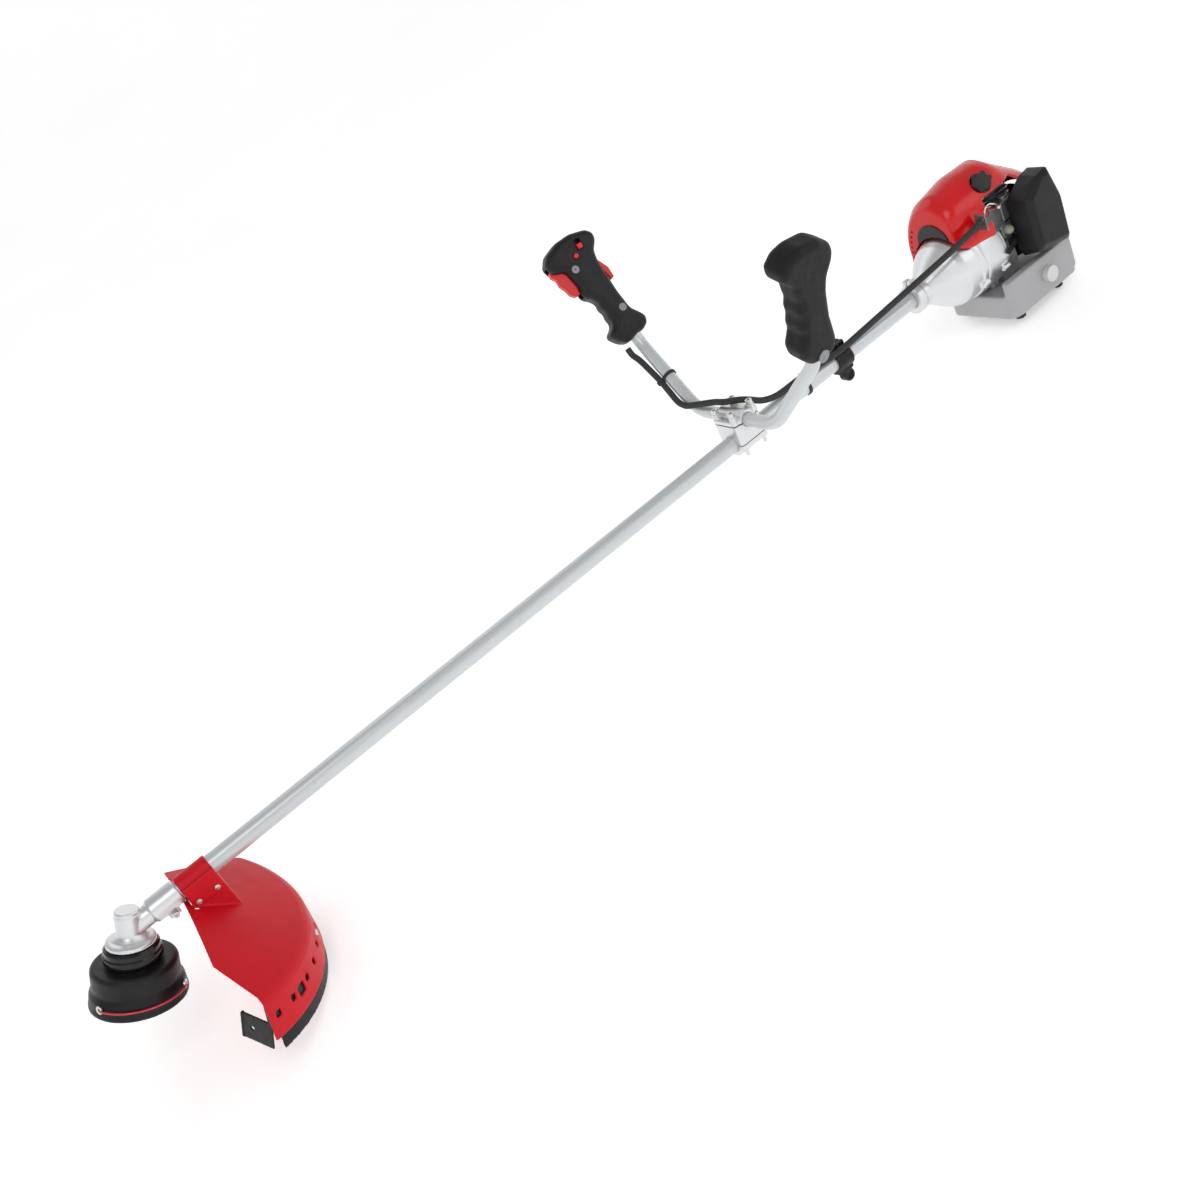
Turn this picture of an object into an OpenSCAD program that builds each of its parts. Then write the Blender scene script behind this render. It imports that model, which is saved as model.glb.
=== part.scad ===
// Petrol string trimmer with a bike handle, in millimetres.
// The shaft lies along X with the engine at the +X end, Z is up, and the origin is the centre
// of the harness eye. +Y is the throttle hand's side.

/* [Shaft] */
// Outer diameter of the shaft tube
tube_d = 26; // [24:1:28]
// Wall of the shaft tube
tube_wall = 1.5; // [1:0.5:2]
// Reach from the head axis to the engine's collar
shaft_len = 1444; // [1350:1:1600]
// Diameter of the drive shaft
drive_d = 8; // [7:1:8]
// Number of shaft bushings
bush_count = 5; // [3:1:7]
// Reach from the head axis to the harness eye
eye_at = 1283; // [1230:1:1330]
// Drop from the shaft axis to the harness eye
eye_drop = 30; // [28:1:34]
// Bore of the harness eye
eye_d = 12; // [10:1:13]

/* [Cutting head] */
// Lean of the head axis from upright when the shaft is level
head_lean = 27.7; // [20:0.1:32]
// Diameter of the gear case flange
flange_d = 61; // [56:1:66]
// Diameter of the head's upper drum
drum_top_d = 106; // [96:1:114]
// Diameter of the head's lower rim
rim_d = 120; // [112:1:140]
// Height of the head from its top to its rim
head_h = 51; // [46:1:58]
// Travel of the bump knob
bump_travel = 6; // [4:1:8]
// Diameter of the cutting line
line_d = 2.4; // [2:0.1:3]

/* [Guard] */
// Radius of the guard's crest
guard_r = 216; // [195:1:260]
// Height of the guard's skirt
skirt_h = 50; // [40:1:62]
// Sheet thickness of the guard
guard_wall = 3; // [2.5:0.5:4]
// Angle from the shaft to the guard's near end
guard_near = 61; // [50:1:66]
// Length of the guard bracket along the shaft
bracket_len = 46; // [38:1:56]

/* [Handlebar] */
// Reach from the head axis to the handlebar clamp
clamp_at = 1073; // [1000:1:1150]
// Height of the handlebar's axis over the shaft axis
bar_rise = 32; // [29:1:38]
// Diameter of the handlebar tube
bar_d = 20; // [19:1:22]
// Wall of the handlebar tube
bar_wall = 1.5; // [1:0.5:2]
// Half width of the handlebar at the grips' tops
bar_half = 268; // [240:1:322]
// Height of the handlebar's ends over the shaft axis
bar_height = 296; // [270:1:350]

/* [Engine] */
// Radius of the clutch housing's band
housing_r = 60; // [57:1:66]
// Radius of the clutch drum
clutch_r = 38; // [34:1:42]
// Reach from the collar to the cylinder's axis
cyl_at = 198; // [192:1:206]
// Radius of the cylinder's bore
bore_r = 20; // [18:0.5:21]
// Height of the engine cover's crown over the crank axis
cover_h = 127; // [120:1:140]
// Width of the air filter cover
filter_w = 72; // [64:1:80]
// Height of the air filter cover
filter_h = 118; // [104:1:128]
// Depth of the air filter cover
filter_d = 44; // [38:1:52]
// Length of the fuel tank
tank_len = 160; // [140:1:176]
// Drop from the crank axis to the ground under the stand
stand_drop = 121; // [116:1:132]

/* [Hidden] */
$fn = 48;

// Clearances: a running fit, and the least gap between bodies that move past each other
fit = 0.05;
gap = 0.4;
over = 1;

tube_r = tube_d / 2;
drive_r = drive_d / 2;
bar_r = bar_d / 2;
rim_r = rim_d / 2;
flange_r = flange_d / 2;
drum_top_r = drum_top_d / 2;

// Gear case: the barrel on the head axis and the arm on the shaft axis
barrel_r = 15.9;
barrel_bore = 13;
barrel_top = 28;
flange_low = -17;
arm_r = 13.6;
arm_bore = 11;
sleeve_r = tube_r + 3.6;
sleeve_at = 33;
sleeve_end = 72;
tube_from = 44;
spindle_r = 5;
// Cone angles of the bevel pair: 15 teeth drive 19 round the shaft angle
pinion_teeth = 15;
gear_teeth = 19;
shaft_angle = 90 - head_lean;
pinion_cone = atan(sin(shaft_angle) / (gear_teeth / pinion_teeth + cos(shaft_angle)));
gear_cone = shaft_angle - pinion_cone;
gear_back = 17;
pinion_back = gear_back / cos(gear_cone) * cos(pinion_cone);
tooth_relief = 0.95;

// Cutting head: heights on the head axis
cup_top = flange_low - 0.6;
head_top = -41;
head_low = head_top - head_h;
hub_r = 9;
eyelet_angles = [-151, -31];
eyelet_h = head_low + 14;
line_r = line_d / 2;

// Guard: a shallow cone down to a crest, then a flared skirt, rolled a little to the near side
crest_h = -20;
cone_slope = 0.26;
flare = 16;
skirt_slope = flare * 0.5 / (skirt_h / 2 - 3);
guard_in = 60;
guard_roll = 5.7;
guard_front = 67;
bracket_from = 74;
bracket_to = bracket_from + bracket_len;
bracket_wall = 2.5;
riser_half = tube_r + 4;
far_tip = [70, 93];
far_angle = 14.6;
screw_drop = 20;
screw_steps = [9, 36];

// Handlebar and its clamp
clamp_len = 50;
clamp_w = 58;
clamp_wall = 7;
clamp_screw_x = 18;
clamp_screw_y = tube_r + 7;
clamp_top = bar_rise + bar_r + 5;
clamp_split = 0.8;
bend_low = [0, 92, 40];
bend_high = [18, 204, 131];
bend_r_low = 62;
bend_r_high = 55;
grip_lean = atan((bar_half - bend_high[1]) / (bar_height - bend_high[2]));
grip_half = 17;
bar_in_grip = 118;
grip_clear = 24;
web_half = grip_half - 0.5;

// Trigger, lever and buttons, in the grip's own frame
trigger_pin = [-18, 160];
trigger_w = 10;
pin_r = 2;
lever_pin = [13, 138];
button_travel = 2.5;

// Engine: reaches from the collar's front face along the crank axis
neck_r = 24;
neck_len = 26;
tube_in = 40;
housing_end = 114;
housing_wall = 3;
drum_from = 66;
drum_len = 32;
case_end = 158;
block_from = case_end;
block_to = 222;
starter_from = 226;
starter_to = 278;
starter_r = 54;
pull_at = 250;
pull_z = -8;
crank_r = 7.5;
web_r = 24;
base_z = 38;
head_z = 104;
cover_from = 84;
cover_wall = 2.5;
carb_x = cyl_at - 2;
carb_z = base_z + 13;
lever_at = [158, -49];
primer_at = [177, 23];
primer_r = 7.5;
choke_at = [177, 2];
filter_y = -housing_r;
filter_x = 187;
filter_z = -28;
tank_from = 119;
tank_y = -80;
tank_top = -42;
tank_low = 17 - stand_drop;
tank_lid = -housing_r - 5;
plug_at = [170, -40, 108];

// Route of the throttle cable's sleeve, from the grip to the carburettor
cable_r = 5;
sleeve_pts = [[-216, 205.5, 164.7], [-215.5, 201, 153], [-213.2, 191, 142.7],
    [-214.3, 171.5, 126.2], [-216, 152.1, 109.6], [-219.3, 134.2, 93.7], [-223, 117, 82],
    [-224, 99, 78], [-220, 80, 79], [-214, 58, 81], [-210, 38, 83], [-208, 20, 84],
    [-203, 8, 84], [-192, 1, 80], [-178, -1, 71], [-160, -2, 58], [-140, -3, 50.5],
    [-120, -4, 48.6], [-80, -5, 48.4], [-45, -9, 47.8], [-24, -14, 48], [-3, -15.5, 48.6],
    [18, -16, 49.5], [50, -19, 53], [100, -28, 61], [140, -38, 69], [180, -48, 77],
    [220, -57, 85], [255, -63, 92], [282, -66.5, 98.5]];
wire_r = 1.4;
wire_pts = [[282.1, -66.5, 98.5], [285, -66.9, 99.2], [288, -67.3, 100.2], [290.5, -68, 104],
    [292, -68.6, 109], [295.5, -69.4, 113.4], [301, -70, 115.4], [307, -70, 113.5],
    [313, -70, 110], [319, -69, 106]];

// Sections of the engine cover: reach along the crank axis, then its outline in Y and Z
cover_sections = [
    [cover_from, [[58, 0], [66, 28], [61, 58], [47, 86], [26, 104], [4, 111], [-20, 105],
        [-38, 87], [-42, 60], [-40, 34]]],
    [cover_from + 14, [[65, 0], [74, 28], [69, 62], [54, 92], [31, 112], [5, 120],
        [-22, 113], [-42, 93], [-47, 62], [-44, 28]]],
    [cyl_at - 46, [[70, 0], [78, 30], [74, 66], [58, 99], [34, cover_h - 7], [12, cover_h],
        [-14, cover_h - 5], [-38, 104], [-50, 78], [-48, 20]]],
    [cyl_at + 10, [[70, 0], [77, 30], [72, 64], [57, 96], [34, cover_h - 9], [12, cover_h - 1],
        [-14, cover_h - 6], [-38, 102], [-48, 78], [-46, 20]]],
    [starter_to + 2, [[42, 12], [52, 28], [49, 50], [34, 66], [12, 72], [-14, 68],
        [-30, 56], [-34, 30]]]];
cover_centre = [12, 50];

function unit(v) = v / norm(v);
function arc(c, r, a0, a1, n) = [for (i = [0:n]) let (a = a0 + (a1 - a0) * i / n)
    [c[0] + r * cos(a), c[1] + r * sin(a)]];
function cone_h(r) = crest_h + (guard_r - r) * cone_slope;

// Frames: along the shaft, on the head axis, on the engine, and on each grip
module along(s) { translate([s - eye_at, 0, eye_drop]) children(); }
module on_head() { along(0) rotate([0, head_lean, 0]) children(); }
module on_engine() { along(shaft_len) children(); }
module on_clamp() { along(clamp_at) children(); }
module on_grip(side) {
    along(clamp_at)
        translate([bend_high[0], side * bend_high[1], bend_high[2]])
            rotate([-side * grip_lean, 0, 0]) children();
}

// Plain shapes on an axis
module rod_x(r, x0, x1) { translate([x0, 0, 0]) rotate([0, 90, 0]) cylinder(r = r, h = x1 - x0); }
module rod_y(r, y0, y1) { translate([0, y0, 0]) rotate([-90, 0, 0]) cylinder(r = r, h = y1 - y0); }
module rod_z(r, z0, z1) { translate([0, 0, z0]) cylinder(r = r, h = z1 - z0); }
module block(a, b) { translate(a) cube(b - a); }
module turned_x(pts) {
    rotate([0, 90, 0]) rotate_extrude() polygon([for (p = pts) [p[1], p[0]]]);
}
module turned_z(pts) { rotate_extrude() polygon(pts); }

// A rectangle with round corners, and the block made from it
module rounded(w, h, r) {
    square([w - 2 * r, h], center = true);
    square([w, h - 2 * r], center = true);
    for (sx = [-1, 1]) for (sy = [-1, 1])
        translate([sx * (w / 2 - r), sy * (h / 2 - r)]) circle(r);
}
module round_block(a, b, r) {
    translate([(a[0] + b[0]) / 2, (a[1] + b[1]) / 2, a[2]])
        linear_extrude(b[2] - a[2]) rounded(b[0] - a[0], b[1] - a[1], r);
}
// The same with its flat faces across Y
module round_slab(a, b, r) {
    translate([(a[0] + b[0]) / 2, b[1], (a[2] + b[2]) / 2]) rotate([90, 0, 0])
        linear_extrude(b[1] - a[1]) rounded(b[0] - a[0], b[2] - a[2], r);
}

// A tube of n sides swept along points, as one closed body
module swept(pts, r, n) {
    last = len(pts) - 1;
    rings = [for (i = [0:last])
        let (t = unit(pts[min(i + 1, last)] - pts[max(i - 1, 0)]),
             side = unit(cross(t, [0, 0.3, 1])),
             up = cross(side, t))
        [for (k = [0:n - 1]) let (a = 360 * k / n)
            pts[i] + r * (cos(a) * side + sin(a) * up)]];
    points = [for (ring = rings) each ring];
    sides = [for (i = [0:last - 1]) for (k = [0:n - 1])
        let (a = i * n + k, b = i * n + (k + 1) % n)
        [a, b, b + n, a + n]];
    polyhedron(points = points,
        faces = concat([[for (k = [n - 1:-1:0]) k]], sides,
            [[for (k = [0:n - 1]) last * n + k]]));
}

// A round tube through corners, each turned on its own radius. The bends are a hair thicker
// than the straights, so the straights end inside them.
module bent_tube(pts, radii, r, wall) {
    last = len(pts) - 1;
    turn = [for (i = [0:last]) (i == 0 || i == last) ? 0 :
        acos(unit(pts[i] - pts[i - 1]) * unit(pts[i + 1] - pts[i]))];
    cut = [for (i = [0:last]) (i == 0 || i == last) ? 0 : radii[i] * tan(turn[i] / 2) - 0.8];
    for (i = [0:last - 1]) {
        dir = unit(pts[i + 1] - pts[i]);
        from = pts[i] + dir * cut[i];
        len_i = norm(pts[i + 1] - pts[i]) - cut[i] - cut[i + 1];
        ax = unit(cross(dir, [0.1, 0, 1]));
        ay = cross(dir, ax);
        multmatrix([[ax[0], ay[0], dir[0], from[0]], [ax[1], ay[1], dir[1], from[1]],
            [ax[2], ay[2], dir[2], from[2]], [0, 0, 0, 1]])
            linear_extrude(len_i) difference() {
                circle(r);
                circle(r - wall);
            }
    }
    for (i = [1:1:last - 1]) {
        u = unit(pts[i] - pts[i - 1]);
        v = unit(pts[i + 1] - pts[i]);
        w = unit(v - (u * v) * u);
        from = pts[i] - u * (cut[i] + 0.8) + w * radii[i];
        n = cross(-w, u);
        multmatrix([[-w[0], u[0], n[0], from[0]], [-w[1], u[1], n[1], from[1]],
            [-w[2], u[2], n[2], from[2]], [0, 0, 0, 1]])
            rotate_extrude(angle = turn[i]) translate([radii[i], 0]) difference() {
                circle(r + 0.03);
                circle(r - wall - 0.03);
            }
    }
}

// ---- Cutting end ----

module gear_case() {
    color("silver") difference() {
        union() {
            on_head() turned_z([[0, flange_low], [flange_r, flange_low],
                [flange_r, flange_low + 5], [flange_r - 4, flange_low + 7],
                [barrel_r + 6, flange_low + 8], [barrel_r + 1, flange_low + 13],
                [barrel_r, flange_low + 16], [barrel_r, barrel_top - 6],
                [barrel_r - 0.8, barrel_top - 5.5], [barrel_r - 0.8, barrel_top - 1],
                [barrel_r - 2, barrel_top], [0, barrel_top]]);
            along(0) rod_x(arm_r, 0, sleeve_at + over);
            along(0) turned_x([[sleeve_at - 2, 0], [sleeve_at - 2, arm_r],
                [sleeve_at, sleeve_r], [sleeve_end, sleeve_r], [sleeve_end, 0]]);
            // Clamp lug under the sleeve
            along(0) block([sleeve_end - 27, -8, -sleeve_r - 6], [sleeve_end - 12, 8, 0]);
        }
        on_head() rod_z(barrel_bore, flange_low - over, barrel_top - 3.5);
        along(0) rod_x(arm_bore, 0, tube_from);
        along(0) rod_x(tube_r, tube_from - 0.01, sleeve_end + over);
        // Slit of the clamp
        along(0) block([sleeve_end - 28, -1, -sleeve_r - 7], [sleeve_end + over, 1, 0]);
        along(sleeve_end - 19.5) translate([0, 0, -sleeve_r - 2.5]) rod_y(2.5, -9, 9);
    }
}

// Blank of a bevel gear on Z with its cone's point at the origin, cut with straight teeth
module bevel_gear(back, cone, teeth, face) {
    slope = tan(cone) * tooth_relief;
    difference() {
        rotate_extrude() polygon([[0, back - face], [(back - face) * slope, back - face],
            [back * slope, back], [back * slope - 1, back + 1], [0, back + 1]]);
        for (k = [0:teeth - 1]) rotate([0, 0, 360 * k / teeth])
            translate([back * slope, 0, back]) rotate([0, cone + 180, 0])
                translate([-0.3, -0.7, -2]) cube([2.2, 1.4, face * 2]);
    }
}

module spindle() {
    color("dimgray") on_head() {
        rod_z(spindle_r - fit, head_low + 8, gear_back - 4);
        rod_z(spindle_r - fit, gear_back, barrel_top - 4);
        bevel_gear(gear_back, gear_cone, gear_teeth, 6);
    }
}

module pinion() {
    color("gray") along(0) difference() {
        rotate([0, 90, 0]) union() {
            bevel_gear(pinion_back, pinion_cone, pinion_teeth, 6);
            rod_z(drive_r + 2.5, pinion_back, pinion_back + 4);
        }
        rod_x(drive_r, pinion_back - 10, pinion_back + 10);
    }
}

// One ball bearing on X, with recessed faces between its rings
module bearing(outer, inner, w) {
    step = (outer - inner) / 3;
    turned_x([[0, inner], [0, inner + step], [0.8, inner + step], [0.8, outer - step],
        [0, outer - step], [0, outer], [w, outer], [w, outer - step],
        [w - 0.8, outer - step], [w - 0.8, inner + step], [w, inner + step], [w, inner]]);
}

module ball_bearings() {
    color("gainsboro") {
        on_head() rotate([0, -90, 0]) {
            translate([flange_low + 1, 0, 0]) bearing(barrel_bore, spindle_r, 8);
            translate([gear_back + 2, 0, 0]) bearing(barrel_bore, spindle_r, 5);
        }
        along(pinion_back + 6) bearing(arm_bore, drive_r + fit, 7);
        on_engine() translate([tube_in + 8, 0, 0]) bearing(16, crank_r + fit, 9);
        on_engine() translate([block_from + 4, 0, 0]) bearing(16, crank_r + fit, 8);
        on_engine() translate([block_to - 12, 0, 0]) bearing(16, crank_r + fit, 8);
    }
}

module dust_cup() {
    low = head_top;
    color("black") on_head() turned_z([[spindle_r, cup_top], [flange_r + 1, cup_top],
        [flange_r + 3.5, cup_top - 2.5], [flange_r + 3.5, cup_top - 8],
        [flange_r + 5.5, cup_top - 10], [flange_r + 5.5, low + 5], [flange_r + 3, low + 2],
        [flange_r + 3, low], [spindle_r, low]]);
}

module head_housing() {
    t = 2.5;
    w0 = drum_top_r;
    color([0.09, 0.09, 0.1]) on_head() difference() {
        turned_z(concat([[spindle_r, head_top]],
            arc([w0 - 6, head_top - 6], 6, 90, 0, 4),
            [[w0 + 0.6, head_low + 25], [rim_r - 2.6, head_low + 18],
             [rim_r - 0.6, head_low + 5], [rim_r, head_low + 4], [rim_r, head_low],
             [rim_r - t, head_low], [rim_r - t, head_low + 4],
             [rim_r - 2.6 - t, head_low + 17], [w0 - t, head_low + 23],
             [w0 - t, head_top - t - 1], [hub_r, head_top - t - 1], [hub_r, head_top - 20],
             [spindle_r, head_top - 20]]));
        for (a = eyelet_angles) rotate([0, 0, a]) translate([0, 0, eyelet_h])
            rod_x(4, rim_r - 12, rim_r + 4);
    }
}

module line_spool() {
    top = head_top - 6;
    low = head_low + 9;
    r = drum_top_r - 8;
    color("dimgray") on_head() turned_z([[hub_r + fit, top], [r, top], [r, top - 2.5],
        [18, top - 2.5], [18, low + 2.5], [r, low + 2.5], [r, low], [hub_r + 5, low],
        [hub_r + 5, top - 18], [hub_r + fit, top - 18]]);
}

module bump_knob() {
    low = head_low - 12;
    color([0.09, 0.09, 0.1]) on_head() difference() {
        turned_z(concat([[0, low], [20, low]], arc([24, low + 6], 6, -60, 0, 4),
            [[30, head_low + 1], [12, head_low + 1], [12, head_low + 12],
             [hub_r + 2.4, head_low + 14], [spindle_r + 2, head_low + 14],
             [spindle_r + 2, head_low + 1], [0, head_low + 1]]));
        for (a = [0:60:300]) rotate([0, 0, a]) translate([31.5, 0, low - over]) cylinder(r = 4, h = 12);
    }
}

module line_eyelets() {
    color("silver") on_head() for (a = eyelet_angles) rotate([0, 0, a])
        translate([rim_r - 3.4, 0, eyelet_h])
            difference() {
                union() {
                    rod_x(4, -3, 3.4);
                    rod_x(5.4, 2.2, 3.4);
                }
                rod_x(line_r + 1, -4, 4);
            }
}

module cutting_line() {
    span = eyelet_angles[1] - eyelet_angles[0];
    color("red") on_head() rotate([0, 0, eyelet_angles[0] + 3]) translate([0, 0, eyelet_h])
        rotate_extrude(angle = span - 6) translate([rim_r + line_r + 0.25, 0]) circle(line_r);
}

// ---- Guard ----

module guard_sheet() {
    t = guard_wall;
    on_head() rotate([guard_roll, 0, 0]) rotate([0, 0, -guard_near])
        rotate_extrude(angle = guard_near + 62) polygon([
            [guard_in, cone_h(guard_in)], [guard_r - 10, cone_h(guard_r - 10)],
            [guard_r - 4, crest_h - 1], [guard_r, crest_h - 6],
            [guard_r + flare * 0.5, crest_h - skirt_h / 2 - 3],
            [guard_r + flare, crest_h - skirt_h],
            [guard_r + flare - t, crest_h - skirt_h],
            [guard_r + flare * 0.5 - t, crest_h - skirt_h / 2 - 3],
            [guard_r - t, crest_h - 7], [guard_r - 6, crest_h - t - 1.5],
            [guard_r - 11, cone_h(guard_r - 11) - t], [guard_in, cone_h(guard_in) - t]]);
}

// Place of the screw on the guard's flared lip, its +Y square into the wall
module on_lip() {
    drop = 16;
    on_head() rotate([guard_roll, 0, 0]) rotate([0, 0, -17])
        translate([guard_r + drop * skirt_slope + 0.03, 0, crest_h - 6 - drop])
            rotate([0, -atan(skirt_slope), 0]) rotate([0, 0, 90]) children();
}

module guard() {
    color("crimson") difference() {
        union() {
            difference() {
                guard_sheet();
                // Straight front edge, and the slanted edge on the far side
                on_head() block([0, -300, -200], [guard_front, 300, 200]);
                on_head() translate([far_tip[0], far_tip[1], 0]) rotate([0, 0, far_angle])
                    block([-60, 0, -200], [300, 300, 200]);
            }
            // Riser under the tube
            along(0) translate([0, riser_half, 0]) rotate([90, 0, 0])
                linear_extrude(2 * riser_half) polygon([[bracket_from, -6],
                    [bracket_to, -6], [bracket_to, -63], [bracket_from, -22]]);
        }
        // Hollow of the riser, open below
        along(0) translate([0, riser_half - 3, 0]) rotate([90, 0, 0])
            linear_extrude(2 * riser_half - 6) polygon([[bracket_from - over, -tube_r - 4],
                [bracket_to - 3, -tube_r - 4], [bracket_to - 3, -90], [bracket_from - over, -60]]);
        along(0) rod_x(tube_r, 40, bracket_to + 60);
        along(0) rod_x(sleeve_r + gap, 40, sleeve_end + over);
        along(0) block([40, -9, -sleeve_r - 7], [sleeve_end - 11, 9, 0]);
        along(0) for (s = screw_steps) translate([bracket_from + s, 0, -screw_drop])
            rod_y(2, -riser_half - over, riser_half + over);
        // Seats of the bracket's cheeks, and the hole of the lip's screw
        along(0) for (k = [-1, 1]) translate([0, k * (riser_half + 2), 0])
            block([bracket_from - 1, -2, -screw_drop - 9], [bracket_to + 1, 2, 6]);
        on_lip() rod_y(2, -over, 5);
        // Row of slots for the skirt's hooks
        on_head() rotate([guard_roll, 0, 0]) for (a = [-12, -22, -31, -39, -49, -57])
            rotate([0, 0, a]) translate([guard_r + 6, 0, crest_h - 25])
                cube([20, 9, 8], center = true);
        on_head() rotate([guard_roll, 0, 0]) rotate([0, 0, -44])
            translate([guard_r + 6, 0, crest_h - 27]) cube([20, 16, 13], center = true);
    }
}

module guard_bracket() {
    r = tube_r + bracket_wall;
    side = riser_half + bracket_wall;
    color("red") difference() {
        union() {
            along(0) rod_x(r, bracket_from, bracket_to);
            for (k = [-1, 1]) along(0) mirror([0, k > 0 ? 1 : 0, 0])
                translate([0, -riser_half, 0]) rotate([90, 0, 0])
                    linear_extrude(bracket_wall) polygon([[bracket_from, 4],
                        [bracket_to, 4], [bracket_to - 4, -screw_drop - 8],
                        [bracket_from + 4, -screw_drop - 6]]);
            along(0) block([bracket_from, -side, 0], [bracket_to, side, 5]);
        }
        along(0) rod_x(tube_r, bracket_from - over, bracket_to + over);
        along(0) block([bracket_from - over, -riser_half, -60], [bracket_to + over, riser_half, 0]);
        along(0) for (s = screw_steps) translate([bracket_from + s, 0, -screw_drop])
            rod_y(2, -side - over, side + over);
    }
}

module guard_skirt() {
    top = crest_h - skirt_h + 16;
    low = crest_h - skirt_h - 17;
    r = guard_r + flare - guard_wall - 0.2;
    color([0.08, 0.08, 0.09]) on_head() rotate([guard_roll, 0, 0])
        rotate([0, 0, -guard_near + 2.5])
            rotate_extrude(angle = 72) polygon([
                [r - 16 * skirt_slope, top], [r + 17 * skirt_slope, low], [r + 17 * skirt_slope - 3, low],
                [r - 16 * skirt_slope - 3, top]]);
}

module line_cutter() {
    inner = guard_r - 39;
    outer = guard_r + flare - guard_wall - 18 * skirt_slope - 0.1;
    color([0.07, 0.07, 0.08]) on_head() rotate([guard_roll, 0, 0])
        rotate([0, 0, -guard_near + 0.5]) {
            difference() {
                block([inner, 0, crest_h - skirt_h - 18], [outer, 2.5, crest_h - skirt_h + 18]);
                translate([inner + 14, 0, crest_h - skirt_h]) rod_y(2.5, -over, 4);
            }
            block([inner - 3, -1, crest_h - skirt_h - 18],
                [inner, 3.5, crest_h - skirt_h + 18]);
        }
}

// A pan head screw on +Y, its head at y = 0
module pan_screw(r, len_s) {
    difference() {
        union() {
            rod_y(r, 0, len_s);
            rotate([90, 0, 0]) rotate_extrude() polygon([[0, 0], [2 * r, 0],
                [1.8 * r, 1.2 * r], [0, 1.4 * r]]);
        }
        for (a = [0, 90]) rotate([0, a, 0])
            block([-1.3 * r, -2 * r, -0.25 * r], [1.3 * r, -0.7 * r, 0.25 * r]);
    }
}

module panel_screws() {
    side = riser_half + bracket_wall;
    color("gainsboro") {
        for (k = [0, 1]) mirror([0, k, 0]) for (s = screw_steps)
            along(bracket_from + s) translate([0, -side, -screw_drop]) pan_screw(2, 5.5);
        on_lip() pan_screw(2, 3);
    }
}

// ---- Shaft ----

module shaft_tube() {
    color("gainsboro") along(0) difference() {
        rod_x(tube_r, tube_from, shaft_len + tube_in);
        rod_x(tube_r - tube_wall, tube_from - over, shaft_len + tube_in + over);
    }
}

module drive_shaft() {
    color("slategray") along(0) rod_x(drive_r, pinion_back - 3, shaft_len + drum_from - 8);
}

module shaft_bushings() {
    first = tube_from + 90;
    step = (shaft_len - first - 60) / (bush_count - 1);
    color([0.15, 0.15, 0.15]) for (k = [0:bush_count - 1]) along(first + k * step)
        difference() {
            rod_x(tube_r - tube_wall, 0, 22);
            rod_x(drive_r + fit, -over, 22 + over);
        }
}

module hanger_bracket() {
    r = tube_r + 5;
    w = 30;
    color([0.08, 0.08, 0.09]) difference() {
        union() {
            along(eye_at) rod_x(r, -w / 2 - 3, w / 2 - 3);
            along(eye_at) round_slab([-w / 2 - 3, -8, -r - 4], [w / 2 - 3, 8, 0], 3);
            along(eye_at) block([-w / 2 - 1, -8, 0], [w / 2 - 5, 8, r + 9]);
            rod_y(eye_d / 2 + 4, -7, 7);
        }
        along(eye_at) rod_x(tube_r, -w, w);
        rod_y(eye_d / 2, -9, 9);
        along(eye_at) block([-w, -1.2, 0], [w, 1.2, r + 12]);
        along(eye_at) translate([-3, 0, tube_r + 10]) rod_y(2.5, -12, 12);
    }
}

// A socket head screw on +Y, the underside of its head at y = 0
module socket_screw(r, len_s) {
    difference() {
        union() {
            rod_y(r, 0, len_s);
            rod_y(1.7 * r, -2 * r, 0);
        }
        rod_y(0.9 * r, -2.2 * r, -0.8 * r);
    }
}

module socket_screws() {
    color("silver") {
        along(eye_at - 3) translate([0, 8, tube_r + 10]) rotate([0, 0, 180]) socket_screw(2.5, 15.5);
        along(sleeve_end - 19.5) translate([0, -8, -sleeve_r - 2.5]) socket_screw(2.5, 15.5);
        on_engine() translate([neck_len / 2 - 4, -9, neck_r + 3]) socket_screw(2.5, 17.5);
        for (sx = [-1, 1]) for (sy = [-1, 1])
            on_clamp() translate([sx * clamp_screw_x, sy * clamp_screw_y, clamp_top])
                rotate([-90, 0, 0]) socket_screw(3, clamp_top + tube_r + clamp_wall - 0.5);
    }
}

// ---- Handlebar ----

module clamp_holes() {
    for (sx = [-1, 1]) for (sy = [-1, 1])
        translate([sx * clamp_screw_x, sy * clamp_screw_y, 0])
            rod_z(3, -tube_r - clamp_wall - over, clamp_top + over);
}

module clamp_lower() {
    color("silver") on_clamp() difference() {
        union() {
            rod_x(tube_r + clamp_wall, -clamp_len / 2, clamp_len / 2);
            round_block([-clamp_len / 2, -clamp_screw_y - 6, -9],
                [clamp_len / 2, clamp_screw_y + 6, 0], 5);
        }
        rod_x(tube_r, -clamp_len, clamp_len);
        block([-clamp_len, -60, -clamp_split], [clamp_len, 60, 60]);
        clamp_holes();
    }
}

module clamp_middle() {
    color("silver") on_clamp() difference() {
        union() {
            round_block([-clamp_len / 2, -clamp_screw_y - 6, 0],
                [clamp_len / 2, clamp_screw_y + 6, bar_rise - clamp_split], 6);
            rod_x(tube_r + 4, -clamp_len / 2, clamp_len / 2);
            translate([0, 0, bar_rise]) rod_y(bar_r + 5, -clamp_w / 2, clamp_w / 2);
        }
        rod_x(tube_r, -clamp_len, clamp_len);
        translate([0, 0, bar_rise]) rod_y(bar_r, -clamp_w, clamp_w);
        block([-clamp_len, -60, -60], [clamp_len, 60, 0]);
        block([-clamp_len, -60, bar_rise - clamp_split], [clamp_len, 60, 90]);
        clamp_holes();
    }
}

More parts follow.
